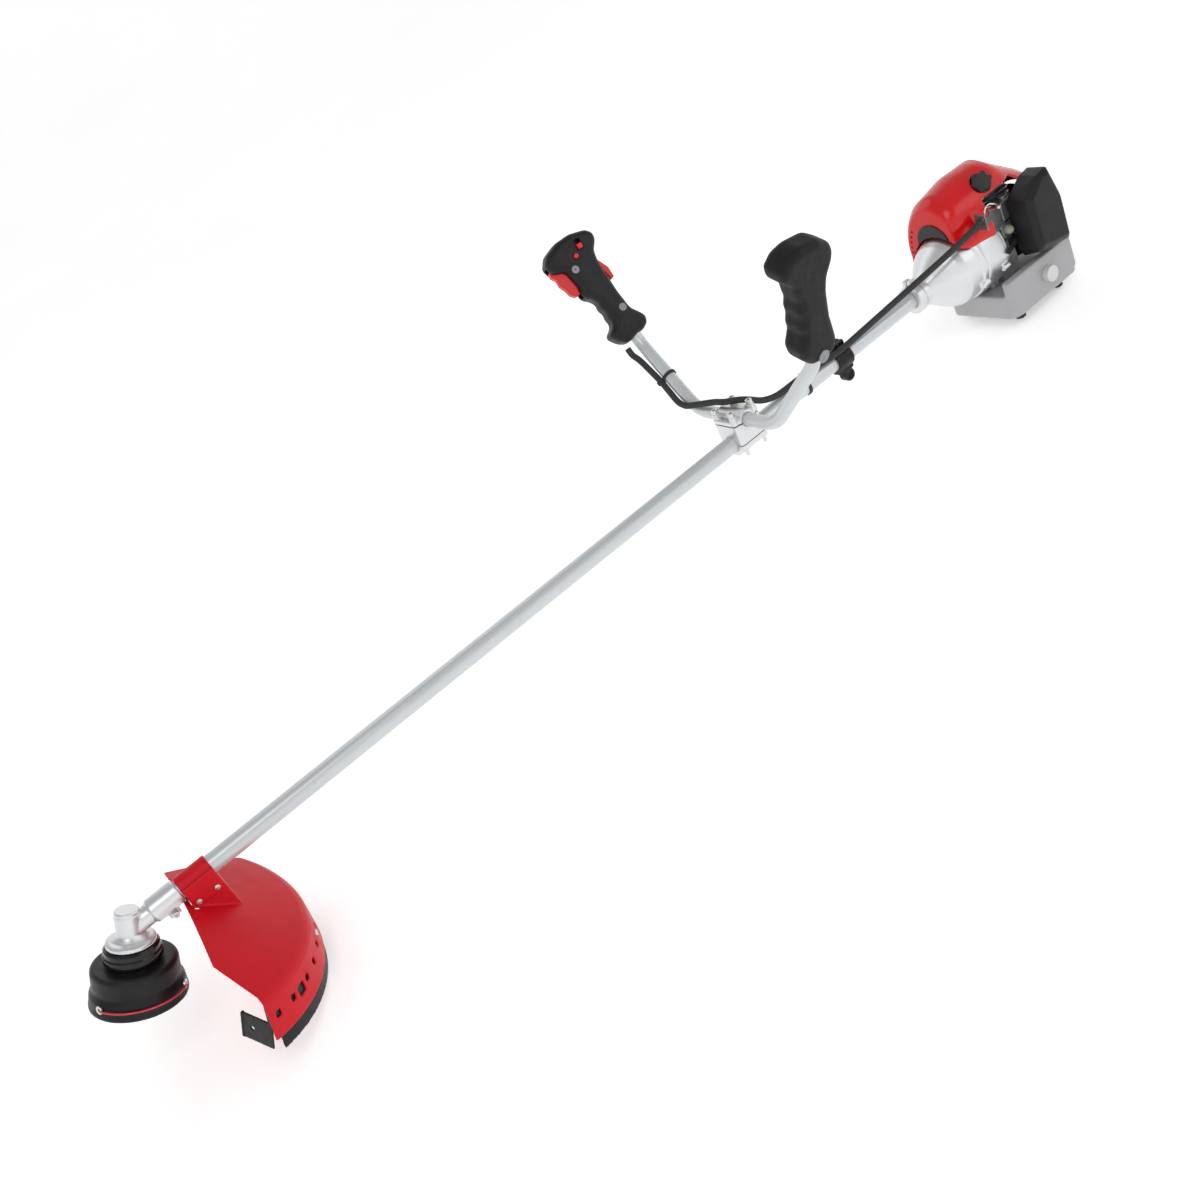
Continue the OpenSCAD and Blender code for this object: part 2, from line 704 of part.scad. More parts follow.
module clamp_cap() {
    color("silver") on_clamp() difference() {
        union() {
            translate([0, 0, bar_rise]) rod_y(bar_r + 5, -clamp_w / 2, clamp_w / 2);
            round_block([-clamp_len / 2, -clamp_screw_y - 6, bar_rise],
                [clamp_len / 2, clamp_screw_y + 6, bar_rise + 7], 6);
            for (sx = [-1, 1]) for (sy = [-1, 1])
                translate([sx * clamp_screw_x, sy * clamp_screw_y, 0])
                    rod_z(6, bar_rise, clamp_top);
        }
        translate([0, 0, bar_rise]) rod_y(bar_r, -clamp_w, clamp_w);
        block([-clamp_len, -60, -60], [clamp_len, 60, bar_rise + clamp_split]);
        clamp_holes();
    }
}

// One half of the handlebar, from the middle of the clamp to the end inside its grip
module bar_half_tube(side) {
    lean = [0, side * sin(grip_lean), cos(grip_lean)];
    pts = [[0, side * 0.2, bar_rise], [bend_low[0], side * bend_low[1], bar_rise],
        [bend_high[0], side * bend_high[1], bend_high[2]],
        [bend_high[0], side * bend_high[1], bend_high[2]] + bar_in_grip * lean];
    radii = [0, bend_r_low, bend_r_high, 0];
    on_clamp() bent_tube(pts, radii, bar_r, bar_wall);
}
module handlebar_left() { color("gainsboro") bar_half_tube(-1); }
module handlebar_right() { color("gainsboro") bar_half_tube(1); }

// A length of a grip with two rounds side by side, from one reach along X to another
module grip_barrel(half, x0, x1, w0, w1) {
    for (x = [x0 + half, x1 - half]) translate([x, 0, w0]) cylinder(r = half, h = w1 - w0);
    block([x0 + half, -half, w0], [x1 - half, half, w1]);
}
// The head of a grip: balls of given reach, height and radius in one skin
module grip_head(balls) {
    hull() for (b = balls) translate([b[0], 0, b[1]]) sphere(r = b[2], $fn = 28);
}

module left_grip() {
    color([0.08, 0.08, 0.09]) on_grip(-1) difference() {
        union() {
            grip_barrel(20, -35, 30, 12, 46);
            grip_barrel(grip_half, -29, 21, 40, 158);
            grip_head([[-35, 182, 17], [-16, 181, 18], [16, 173, 19], [10, 158, 17],
                [-12, 158, 17]]);
        }
        rod_z(bar_r, -over, bar_in_grip);
        rod_z(bar_r + 2.5, -over, grip_clear);
    }
}

// Whole outer form of the throttle grip, before it is split down the middle
module throttle_form() {
    grip_barrel(19, -40, 30, 4, 36);
    grip_barrel(grip_half, -24, 19, 30, 130);
    grip_barrel(grip_half, -22, 22, 100, 172);
    grip_head([[-44, 178, 18], [-10, 179, 18], [17, 173, 18]]);
    // Web beside the trigger, and the lip under it
    round_slab([-37, -web_half, 138], [0, web_half, 172], 8);
    round_slab([-40, -8, 95], [0, 8, 105], 3);
}

module throttle_cavity() {
    // Bar, trigger, lever and switch spaces
    rod_z(bar_r, -over, bar_in_grip);
    rod_z(bar_r + 2.5, -over, grip_clear);
    block([-72, -trigger_w / 2 - gap, 106], [-11, trigger_w / 2 + gap, 172]);
    block([8, -5 - gap, 101], [30, 5 + gap, 144]);
}

module grip_half_shell(side) {
    on_grip(1) difference() {
        throttle_form();
        throttle_cavity();
        block([-90, side > 0 ? -40 : 0, -5], [60, side > 0 ? 0 : 40, 200]);
        for (p = [[-27, 147], [2, 60]]) translate([p[0], 0, p[1]]) rod_y(2, -40, 40);
        if (side < 0) {
            translate([-14, 0, 163]) rod_y(4 + gap, -40, -8.7);
            block([-5, -40, 168], [7, -9, 184]);
        }
        // Pins of the trigger and of the lever
        for (p = [trigger_pin, lever_pin]) translate([p[0], 0, p[1]]) rod_y(pin_r, -9, 9);
    }
}
module throttle_grip_inner() { color([0.08, 0.08, 0.09]) grip_half_shell(-1); }
module throttle_grip_outer() { color([0.08, 0.08, 0.09]) grip_half_shell(1); }

module throttle_trigger() {
    half = trigger_w / 2;
    color("red") on_grip(1) {
        translate([0, half, 0]) rotate([90, 0, 0]) linear_extrude(trigger_w)
            polygon([[-14, 156], [-14, 165], [-30, 168], [-60, 166], [-62, 158], [-57, 150],
                [-58, 140], [-54, 131], [-52, 120], [-46, 113], [-38, 113], [-36, 124],
                [-28, 142], [-20, 152]]);
        translate([trigger_pin[0], 0, trigger_pin[1]]) rod_y(pin_r - fit, -8.5, 8.5);
    }
}

module lockoff_lever() {
    color("red") on_grip(1) {
        translate([0, 5, 0]) rotate([90, 0, 0]) linear_extrude(10)
            polygon([[9.5, 135], [16.5, 142], [20, 139], [27, 122], [26, 106], [20, 104],
                [18, 118], [11, 131]]);
        translate([lever_pin[0], 0, lever_pin[1]]) rod_y(pin_r - fit, -8.5, 8.5);
    }
}

module stop_switch() {
    color("red") on_grip(1) block([-3.5, -grip_half - 2.5, 168.4], [5.5, -9.5, 176.4]);
}

module hold_button() {
    color("red") on_grip(1) translate([-14, 0, 163]) rod_y(4, -grip_half - 3, -11.6);
}

module grip_plugs() {
    color("darkgray") {
        on_grip(1) for (p = [[-27, web_half, 147], [2, grip_half, 60]])
            translate([p[0], -p[1], p[2]]) difference() {
                rod_y(6, -0.8, 0);
                rod_y(1.4, -1, -0.4);
            }
        on_grip(-1) translate([0, 0, 24]) difference() {
            rod_y(9, -21.5, -20);
            rod_y(2, -22, -21);
        }
    }
}

// ---- Throttle cable ----

module cable_sleeve() { color([0.05, 0.05, 0.05]) swept(sleeve_pts, cable_r, 10); }
module throttle_wire() { color("gainsboro") swept(wire_pts, wire_r, 8); }

// A tie round a tube at p and the cable at q
module cable_tie(p, q, dir, r) {
    ax = unit(dir);
    d = (q - p) - ((q - p) * ax) * ax;
    ay = unit(d);
    az = cross(ax, ay);
    multmatrix([[ax[0], ay[0], az[0], p[0]], [ax[1], ay[1], az[1], p[1]],
        [ax[2], ay[2], az[2], p[2]], [0, 0, 0, 1]])
        difference() {
            union() {
                rod_x(r + 1.8, -2.5, 2.5);
                translate([0, norm(d), 0]) rod_x(cable_r + 1.8, -2.5, 2.5);
            }
            rod_x(r, -4, 4);
            translate([0, norm(d), 0]) rod_x(cable_r, -4, 4);
        }
}

module cable_ties() {
    base = [clamp_at - eye_at, 0, eye_drop];
    low = base + [bend_low[0], bend_low[1], bar_rise];
    high = base + bend_high;
    color([0.04, 0.04, 0.04]) {
        cable_tie([-80, 0, eye_drop], sleeve_pts[18], [1, 0, 0], tube_r);
        cable_tie((low + high) / 2, sleeve_pts[4], high - low, bar_r);
    }
}

// ---- Engine ----

module clutch_housing() {
    r1 = housing_r;
    t = housing_wall;
    color("silver") on_engine() difference() {
        union() {
            turned_x([[0, tube_r], [0, neck_r - 1], [1, neck_r], [14, neck_r], [15, neck_r - 2],
                [neck_len, neck_r - 1.5], [38, neck_r + 6], [56, r1 - 16], [70, r1 - 7],
                [80, r1 - 3], [104, r1 - 1.5], [104, r1 + 1], [housing_end, r1 + 1],
                [housing_end, r1 - t], [105, r1 - t - 1.5], [82, r1 - t - 5],
                [72, r1 - 10], [62, clutch_r + 3], [61, 24],
                [tube_in + 17, 20], [tube_in + 17, 16],
                [tube_in + 8, 16], [tube_in + 8, tube_r - 2], [tube_in, tube_r - 2],
                [tube_in, tube_r]]);
            // Lug of the slit collar
            block([2, -9, 0], [14, 9, neck_r + 8]);
            for (a = [-150, -60, 30, 120]) rotate([a, 0, 0]) translate([0, r1 + 1, 0])
                rod_x(5.5, 98, housing_end);
        }
        rod_x(tube_r, -over, tube_in);
        block([-over, -1.2, 0], [16, 1.2, neck_r + 9]);
        translate([neck_len / 2 - 4, 0, neck_r + 3]) rod_y(2.5, -12, 12);
    }
}

module clutch_drum() {
    color("dimgray") on_engine() difference() {
        turned_x([[tube_in + 8, 0], [tube_in + 8, crank_r], [drum_from - 2, crank_r],
            [drum_from - 2, 12], [drum_from, 12], [drum_from, clutch_r - 2],
            [drum_from + 2, clutch_r], [drum_from + drum_len, clutch_r],
            [drum_from + drum_len, clutch_r - 2.5], [drum_from + 3, clutch_r - 2.5],
            [drum_from + 3, 0]]);
        rod_x(drive_r, tube_in, drum_from - 8);
    }
}

module clutch_shoes() {
    x0 = drum_from + 6;
    r = clutch_r - 3.2;
    color("gray") on_engine() difference() {
        rod_x(r, x0, x0 + 20);
        rod_x(crank_r, x0 - over, x0 + 21);
        block([x0 - over, -r - over, -1.5], [x0 + 21, -14, 1.5]);
        block([x0 - over, 14, -1.5], [x0 + 21, r + over, 1.5]);
        for (k = [-1, 1]) translate([0, k * 16, k * 12]) rod_x(4, x0 - over, x0 + 21);
    }
}

module fan_case() {
    r0 = housing_r + 1;
    r1 = housing_r + 1.6;
    color("silver") on_engine() difference() {
        union() {
            turned_x([[housing_end, r0 - 6], [housing_end, r1 - 2], [housing_end + 4, r1],
                [case_end, r1], [case_end, r1 - 3], [housing_end + 9, r1 - 3],
                [housing_end + 6, r0 - 6]]);
            for (a = [-155, -110, -70, -30, 20]) rotate([a, 0, 0]) translate([0, r1 + 1, 0])
                rod_x(6, case_end - 14, case_end);
        }
        // Outlet towards the cylinder
        block([case_end - 24, -30, 40], [case_end + over, 30, 90]);
    }
}

module flywheel() {
    x0 = housing_end + 10;
    color("gray") on_engine() difference() {
        union() {
            rod_x(40, x0, x0 + 8);
            rod_x(14, x0, x0 + 20);
            for (a = [0:30:330]) rotate([a, 0, 0]) block([x0 + 7, 24, -1.2], [x0 + 20, 52, 1.2]);
        }
        rod_x(crank_r, x0 - over, x0 + 21);
    }
}

module crankshaft() {
    web = [block_from + 18, block_from + 26, block_from + 38, block_from + 46];
    color("darkgray") on_engine() {
        rod_x(crank_r - fit, drum_from + 5, web[0] + over);
        rod_x(crank_r - fit, web[3] - over, starter_from + 20);
        for (i = [0, 2]) rod_x(web_r, web[i], web[i + 1]);
        translate([0, 0, 15]) rod_x(6, web[1] - over, web[2] + over);
    }
}

module crankcase() {
    color("silver") on_engine() difference() {
        union() {
            turned_x([[block_from, 0], [block_from, housing_r], [block_from + 6, housing_r],
                [block_from + 6, 34], [block_to, 34], [block_to, 0]]);
            block([block_from + 3, -27, 12], [block_to, 27, base_z]);
            for (k = [-1, 1]) block([block_from + 12, k * 22 - 6, tank_lid],
                [block_to - 12, k * 22 + 6, -24]);
        }
        // Way for the fan's air to the cylinder
        block([block_from - over, -30, 40], [block_from + 7, 30, housing_r + 10]);
        rod_x(web_r + 2, block_from + 14, block_to - 14);
        rod_x(16, block_from + 4, block_from + 15);
        rod_x(16, block_to - 15, block_to - 3);
        rod_x(crank_r + 1.5, block_from - over, block_to + over);
        translate([cyl_at, 0, 0]) rod_z(bore_r, 0, base_z + over);
    }
}

module cylinder_fins() {
    for (k = [0:6]) round_block([cyl_at - 33, -32, base_z + 8 + 8 * k],
        [cyl_at + 33 - 6 * max(0, k - 3), 32, base_z + 10.5 + 8 * k], 9);
}

module cylinder_body() {
    difference() {
        union() {
            translate([cyl_at, 0, 0]) rod_z(bore_r + 6, base_z, head_z - 4);
            round_block([cyl_at - 30, -26, base_z], [cyl_at + 30, 26, base_z + 5], 4);
            cylinder_fins();
            // Inlet and exhaust flanges
            round_slab([carb_x - 18, -36, base_z + 2], [carb_x + 18, 0, base_z + 24], 4);
            round_slab([cyl_at - 18, 0, base_z + 4], [cyl_at + 18, 38, base_z + 28], 4);
        }
        translate([cyl_at, 0, 0]) rod_z(bore_r, base_z - over, head_z - 10);
        translate([carb_x, 0, base_z + 13]) rod_y(7, -40, -10);
        translate([cyl_at, 0, base_z + 16]) rod_y(8, 10, 40);
    }
}

// The spark plug's own frame: Z leans out of the cover's near shoulder
module on_plug() {
    on_engine() translate(plug_at) rotate([0, 0, -25]) rotate([60, 0, 0]) children();
}

module cylinder_block() {
    color("lightgray") difference() {
        union() {
            on_engine() cylinder_body();
            on_plug() rod_z(11, -38, -26);
        }
        on_engine() translate([cyl_at, 0, 0]) rod_z(bore_r, base_z - over, head_z - 10);
        on_plug() rod_z(7, -60, -20);
        on_plug() rod_z(17.5, -25.95, 20);
    }
}

module spark_plug() {
    color("white") on_plug() turned_z([[0, -34], [7, -34], [7, -26], [10, -26], [10, -20],
        [6, -18], [5.5, -8], [3, -6], [0, -6]]);
}

module plug_cap() {
    color([0.07, 0.08, 0.08]) on_plug() {
        turned_z([[10.2, -17], [13, -16], [14, -4], [14.5, 2], [11, 8], [5, 10], [0, 10],
            [0, -6], [6.4, -6], [6.4, -17]]);
        for (a = [0:60:300]) rotate([0, 0, a]) translate([12.5, 0, -2]) rod_z(4, -10, 7);
    }
}

module muffler() {
    color("dimgray") on_engine() difference() {
        union() {
            round_slab([cyl_at - 32, 38, 12], [block_to - 1.5, 58, 66], 8);
            for (k = [-1, 1]) translate([cyl_at + 15 * k, 0, base_z + 16]) rod_y(4, 57, 60);
            translate([cyl_at - 14, 0, 20]) rod_y(5, 57, 66);
        }
        round_slab([cyl_at - 30, 40, 14], [block_to - 3.5, 56, 64], 6);
        translate([cyl_at, 0, base_z + 16]) rod_y(8, 30, 41);
        translate([cyl_at - 14, 0, 20]) rod_y(4, 50, 70);
    }
}

module cover_hull(inset) {
    hull() for (sec = cover_sections) {
        step = sec[0] == cover_from ? inset : sec[0] > starter_to ? -inset : 0;
        translate([sec[0] + step, 0, 0]) rotate([90, 0, 90]) linear_extrude(0.1)
            polygon([for (p = sec[1])
                let (q = p + [sign(p[0]) * (housing_r - 60), 0], d = q - cover_centre)
                cover_centre + d * (1 - inset / norm(d))]);
    }
}

module engine_cover() {
    color("red") difference() {
        on_engine() difference() {
            cover_hull(0);
            cover_hull(cover_wall);
            block([cover_from - over, -90, -20], [starter_to + 9, 90, 3]);
            // Round the clutch housing and the fan case
            rod_x(housing_r + 2.4, cover_from - over, case_end - 14);
            rod_x(housing_r + 1.6, case_end - 15, block_from + 7);
            rod_x(starter_r + gap, case_end, starter_to + 9);
            // Opening on the near side for the carburettor and the air filter
            block([carb_x - 44, -90, -20], [starter_to + 9, -34, 88]);
            // Vents along the front edge
            for (k = [0:5]) translate([cover_from, 57 - 0.5 * k * k, 26 + 9 * k]) rod_x(2, -over, 12);
            // Two holes in the tail
            for (y = [-14, -2]) translate([starter_to - 14, y, 0]) rod_z(2.5, 60, 110);
        }
        on_plug() rod_z(17.5, -26, 20);
    }
}

module label_plate() {
    color([0.05, 0.05, 0.06]) on_engine() difference() {
        translate([0, 4, 50]) rod_x(33, cover_from - 1.8, cover_from);
        rod_x(housing_r + 2.6, cover_from - 3, cover_from + 1);
        block([cover_from - 3, -60, 0], [cover_from + 1, 60, 40]);
    }
}

module carburettor() {
    color("lightslategray") on_engine() difference() {
        union() {
            round_slab([carb_x - 20, filter_y + 3, carb_z - 14], [carb_x + 18, -36, carb_z + 16], 4);
            round_slab([carb_x - 43.4, -56, 30], [carb_x - 18, -40, 66], 4);
            round_slab([block_from + 7, filter_y + 3, 12], [carb_x + 10, -40, 34], 4);
            translate([carb_x - 2, -47, 60]) rod_z(8, 0, 12);
            translate([lever_at[0], lever_at[1], 0]) rod_z(6, 60, 69);
            // Stop for the cable's sleeve, and the foot that carries it
            round_slab([122.5, -56, 50], [carb_x - 40, -53, 62], 2);
            block([122.6, -74, 52], [125.6, -53, 78]);
        }
        translate([carb_x, 0, carb_z]) rod_y(7, filter_y, -30);
        translate([122, -66.8, 69.2]) rod_x(3.2, -2, 6);
        translate([primer_at[0], 0, primer_at[1]]) rod_y(primer_r + gap, filter_y, filter_y + 13);
        // Clear of the fan case and of the crankcase's flange
        rod_x(housing_r + 2, 100, block_from + 6 + gap);
        translate([lever_at[0], lever_at[1], 0]) rod_z(2, 55, 70);
    }
}

module carb_lever() {
    color("silver") on_engine() translate([lever_at[0], lever_at[1], 0]) {
        rod_z(2 - fit, 56, 73);
        rod_z(5, 69.4, 73);
        translate([0, 0, 70]) linear_extrude(2.5) polygon([[-4, 0], [4, 0], [3, -24], [-3, -24]]);
        translate([0, -21, 0]) rod_z(3.5, 69.8, 74);
    }
}

module primer_bulb() {
    color([0.85, 0.85, 0.8]) on_engine() translate([primer_at[0], 0, primer_at[1]])
        rotate([90, 0, 0])
        translate([0, 0, -filter_y]) turned_z([[0, -6], [primer_r, -6], [primer_r, -1],
            [primer_r - 1, 3], [primer_r - 3.5, 6], [0, 7]]);
}

module choke_lever() {
    color([0.1, 0.1, 0.1]) on_engine() translate([choke_at[0], 0, choke_at[1]]) {
        rod_y(5, filter_y - 6, filter_y - 2.4);
        translate([0, filter_y - 2.4, 0]) rotate([90, 0, 0]) linear_extrude(3.6)
            polygon([[0, -4], [-18, -12], [-22, -9], [-21, -5], [0, 4]]);
        rod_y(2 - fit, filter_y - 3, filter_y + 3);
    }
}

module filter_base() {
    color([0.12, 0.12, 0.12]) on_engine() difference() {
        union() {
            round_slab([filter_x + 2, filter_y, filter_z + 4],
                [filter_x + filter_w - 3, filter_y + 3, filter_z + filter_h - 26], 6);
            translate([choke_at[0], 0, choke_at[1]]) rod_y(6, filter_y - 2, filter_y + 3);
            block([choke_at[0] - 6, filter_y, choke_at[1] - 6],
                [filter_x + 8, filter_y + 3, choke_at[1] + 6]);
        }
        translate([carb_x + 6, 0, carb_z]) rod_y(7, filter_y - 4, filter_y + 10);
        translate([choke_at[0], 0, choke_at[1]]) rod_y(2, filter_y - 4, filter_y + 4);
    }
}

module filter_form(inset) {
    x0 = filter_x + inset;
    x1 = filter_x + filter_w - inset;
    z0 = filter_z + inset;
    z1 = filter_z + filter_h - inset;
    y0 = filter_y - filter_d + inset;
    y1 = inset > 0 ? filter_y + over : filter_y;
    hull() {
        translate([0, y1, 0]) rotate([90, 0, 0]) linear_extrude(0.1) polygon([
            [x0 - 2, z0 + 10], [x0 + 4, z0 - 4], [x0 + 30, z0 - 6], [x1 - 2, z0 - 4],
            [x1 + 2, z1 - 52], [x1 - 12, z1], [x0 + 38, z1 - 2], [x0 - 2, z1 - 24]]);
        translate([0, y0 + 8, 0]) rotate([90, 0, 0]) linear_extrude(0.1) polygon([
            [x0, z0 + 8], [x0 + 8, z0 + 2], [x1 - 4, z0 - 8], [x1, z0 - 4],
            [x1 + 2, z1 - 52], [x1 - 12, z1], [x0 + 34, z1 - 3], [x0, z1 - 26]]);
        translate([0, y0, 0]) rotate([90, 0, 0]) linear_extrude(0.1) polygon([
            [x0 + 8, z0 + 14], [x1 - 8, z0 + 2],
            [x1 - 6, z1 - 54], [x1 - 18, z1 - 8], [x0 + 38, z1 - 10], [x0 + 8, z1 - 30]]);
    }
}

module filter_cover() {
    color([0.06, 0.06, 0.07]) on_engine() difference() {
        filter_form(0);
        filter_form(3);
    }
}

module fuel_tank() {
    x1 = tank_from + tank_len;
    color([0.93, 0.93, 0.9]) on_engine() difference() {
        union() {
            round_block([tank_from, tank_y, tank_low], [x1, 58, tank_lid], 18);
            round_block([tank_from + 2, tank_y, tank_low + 10], [x1 - 2, -64, tank_top], 7);
            translate([tank_from + 89, 0, tank_top - 30]) rod_y(10, tank_y - 5, tank_y + over);
        }
        round_block([tank_from + 3, tank_y + 3, tank_low + 3], [x1 - 3, 55, tank_lid - 3], 15);
        translate([tank_from + 89, 0, tank_top - 36]) rod_y(6, tank_y - 6, tank_y + 5);
    }
}

module fuel_cap() {
    color("whitesmoke") on_engine() translate([tank_from + 89, 0, tank_top - 30]) difference() {
        rod_y(13, tank_y - 11, tank_y - gap);
        rod_y(10 + gap, tank_y - 8, tank_y + over);
        for (a = [0:30:330]) rotate([0, a, 0]) translate([13.6, 0, 0]) rod_y(1.4, tank_y - 12, tank_y);
    }
}

module engine_stand() {
    x0 = tank_from + 28;
    x1 = x0 + 112;
    color([0.08, 0.08, 0.09]) on_engine() difference() {
        union() {
            round_block([x0, -62, -stand_drop + 7], [x1, 66, tank_low], 8);
            for (x = [x0 + 9, x1 - 9]) for (y = [-52, 2, 56])
                translate([x, y, 0]) rod_z(9, -stand_drop, -stand_drop + 8);
        }
        block([x0 + 18, -44, -stand_drop - over], [x1 - 18, 48, tank_low + over]);
    }
}

module starter_case() {
    r = starter_r;
    color([0.1, 0.1, 0.11]) on_engine() difference() {
        union() {
            turned_x([[block_to, 30], [block_to, r - 3], [block_to + 3, r], [starter_to - 12, r],
                [starter_to - 3, r - 7], [starter_to, r - 15], [starter_to, 0],
                [starter_to - 3, 0], [starter_to - 3, r - 17], [starter_to - 13, r - 3.5],
                [block_to + 4, r - 3.5], [block_to + 4, 30]]);
            translate([pull_at, 0, pull_z]) rod_y(6, 44, 57);
        }
        translate([pull_at, 0, pull_z]) rod_y(2.6, 30, 60);
        // Room for the cylinder's foot and fins
        block([block_to - over, -34, base_z - over], [cyl_at + 35, 34, 60]);
        for (a = [0:30:330]) rotate([a, 0, 0])
            block([starter_to - 4, 16, -2], [starter_to + over, 32, 2]);
    }
}

module starter_grip() {
    color([0.12, 0.12, 0.12]) on_engine() translate([pull_at, 0, pull_z]) {
        rod_y(2.2, 42, 60);
        difference() {
            round_slab([-19, 58, -7], [19, 71, 7], 6);
            for (k = [-1, 1]) translate([10 * k, 58, 0]) rod_z(4, -8, 8);
        }
    }
}

gear_case();
spindle();
pinion();
ball_bearings();
dust_cup();
head_housing();
line_spool();
bump_knob();
line_eyelets();
cutting_line();
guard();
guard_bracket();
guard_skirt();
line_cutter();
panel_screws();
socket_screws();
shaft_tube();
drive_shaft();
shaft_bushings();
hanger_bracket();
clamp_lower();
clamp_middle();
clamp_cap();
handlebar_left();
handlebar_right();
left_grip();
throttle_grip_inner();
throttle_grip_outer();
throttle_trigger();
lockoff_lever();
stop_switch();
hold_button();
grip_plugs();
cable_sleeve();
throttle_wire();
cable_ties();
clutch_housing();
clutch_drum();
clutch_shoes();
fan_case();
flywheel();
crankshaft();
crankcase();
cylinder_block();
spark_plug();
muffler();
engine_cover();
label_plate();
plug_cap();
carburettor();
carb_lever();
primer_bulb();
choke_lever();
filter_base();
filter_cover();
fuel_tank();
fuel_cap();
engine_stand();
starter_case();
starter_grip();
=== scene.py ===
"""Looks of a petrol string trimmer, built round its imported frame."""

import math

import bmesh
import bpy
from bpy.props import FloatProperty, FloatVectorProperty, IntProperty, PointerProperty
from mathutils import Matrix, Vector


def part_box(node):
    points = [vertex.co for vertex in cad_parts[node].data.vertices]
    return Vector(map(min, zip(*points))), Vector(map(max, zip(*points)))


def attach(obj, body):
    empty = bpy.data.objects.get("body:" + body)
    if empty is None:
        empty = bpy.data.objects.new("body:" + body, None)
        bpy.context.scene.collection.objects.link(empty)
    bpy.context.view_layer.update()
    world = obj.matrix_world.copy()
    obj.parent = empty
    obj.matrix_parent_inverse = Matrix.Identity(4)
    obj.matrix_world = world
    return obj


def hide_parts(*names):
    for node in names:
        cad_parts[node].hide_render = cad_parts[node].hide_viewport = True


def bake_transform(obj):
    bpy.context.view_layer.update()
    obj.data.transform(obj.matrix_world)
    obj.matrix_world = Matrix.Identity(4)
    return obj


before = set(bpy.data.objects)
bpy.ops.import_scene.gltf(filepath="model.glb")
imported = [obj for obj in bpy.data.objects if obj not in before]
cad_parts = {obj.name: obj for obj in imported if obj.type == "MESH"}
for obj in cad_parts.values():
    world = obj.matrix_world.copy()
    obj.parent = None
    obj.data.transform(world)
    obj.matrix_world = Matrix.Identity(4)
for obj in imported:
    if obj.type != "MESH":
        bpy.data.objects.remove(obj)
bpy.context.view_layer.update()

bl_info = {
    "name": "String Trimmer Looks",
    "version": (1, 0, 0),
    "blender": (4, 5, 0),
    "location": "View3D > Sidebar > Trimmer",
    "description": "Builds the finishes and shaped pieces of a petrol string trimmer",
    "category": "Object",
}

MM = 0.001
SHAFT_Z = 30.0
ENGINE_X = 161.0
GRIP_FOOT = (-192.0, 204.0, 161.0)
GRIP_LEAN = math.atan2(64, 165)
HEAD_X = -1283.0
HEAD_TILT = math.radians(27.7)
HEAD_ROLL = math.radians(5.7)
CONTROL_VOXEL = 0.0006

# ---------------------------------------------------------------- settings


def length(name, description, default, low=0.0, high=1.0):
    return FloatProperty(name=name, description=description, default=default, min=low,
                         max=high, subtype="DISTANCE", unit="LENGTH")


def colour(name, description, default):
    return FloatVectorProperty(name=name, description=description, default=default,
                               subtype="COLOR", size=3, min=0.0, max=1.0)


class TrimmerSizes(bpy.types.PropertyGroup):
    """Sizes of the pieces that are shaped here"""

    cable_radius: length("Cable radius", "Radius of the throttle cable's sleeve", 0.005)
    wire_radius: length("Wire radius", "Radius of the bare throttle wire", 0.0013)
    left_half: length("Plain grip half width", "Half thickness of the plain grip", 0.0200)
    throttle_half: length("Throttle grip half width", "Half thickness of the throttle grip",
                          0.0172)
    casting_voxel: length("Casting detail", "Cell size of the softened castings", 0.0011)
    moulding_voxel: length("Moulding detail", "Cell size of the softened mouldings", 0.0013)
    cover_wall: length("Cover wall", "Wall of the engine cover", 0.0026)
    floor_size: length("Floor size", "Side of the floor", 40.0, 1.0, 200.0)
    lens: FloatProperty(name="Lens", description="Focal length in millimetres",
                        default=39.09, min=10.0, max=200.0)
    rope_rings: IntProperty(name="Rope rings", description="Rings along the starter rope",
                            default=60, min=8, max=200)


class TrimmerPaints(bpy.types.PropertyGroup):
    """Colours of the finishes"""

    red: colour("Red", "Cover, trigger and buttons", (0.66, 0.004, 0.006))
    guard_red: colour("Guard red", "Guard and its bracket", (0.60, 0.003, 0.012))
    black: colour("Black", "Moulded black plastic", (0.007, 0.007, 0.008))
    grip_black: colour("Grip black", "Soft hand grips", (0.006, 0.006, 0.007))
    cast: colour("Casting", "Cast aluminium", (0.23, 0.25, 0.265))
    tube: colour("Tube", "Silver painted tube", (0.60, 0.63, 0.645))
    steel: colour("Steel", "Machined steel", (0.50, 0.50, 0.51))
    tank: colour("Tank", "Milky fuel tank", (0.40, 0.40, 0.41))
    line: colour("Line", "Nylon cutting line", (0.70, 0.02, 0.05))


# ---------------------------------------------------------------- places


def on_shaft(x, y, z):
    """A point in millimetres in the row frame, as metres."""
    return Vector((x * MM, y * MM, z * MM))


def on_engine(x, y, z):
    """A point in millimetres from the collar on the crank axis, as metres."""
    return on_shaft(x + ENGINE_X, y, z + SHAFT_Z)


def grip_matrix(side):
    foot = on_shaft(GRIP_FOOT[0], side * GRIP_FOOT[1], GRIP_FOOT[2])
    return Matrix.Translation(foot) @ Matrix.Rotation(-side * GRIP_LEAN, 4, "X")


# ---------------------------------------------------------------- finishes


def add(tree, kind, **sockets):
    node = tree.nodes.new(kind)
    for name, value in sockets.items():
        node.inputs[name.replace("_", " ")].default_value = value
    return node


def remap(tree, source, from_low, from_high, to_low, to_high):
    node = add(tree, "ShaderNodeMapRange", From_Min=from_low, From_Max=from_high,
               To_Min=to_low, To_Max=to_high)
    tree.links.new(source, node.inputs["Value"])
    return node.outputs["Result"]


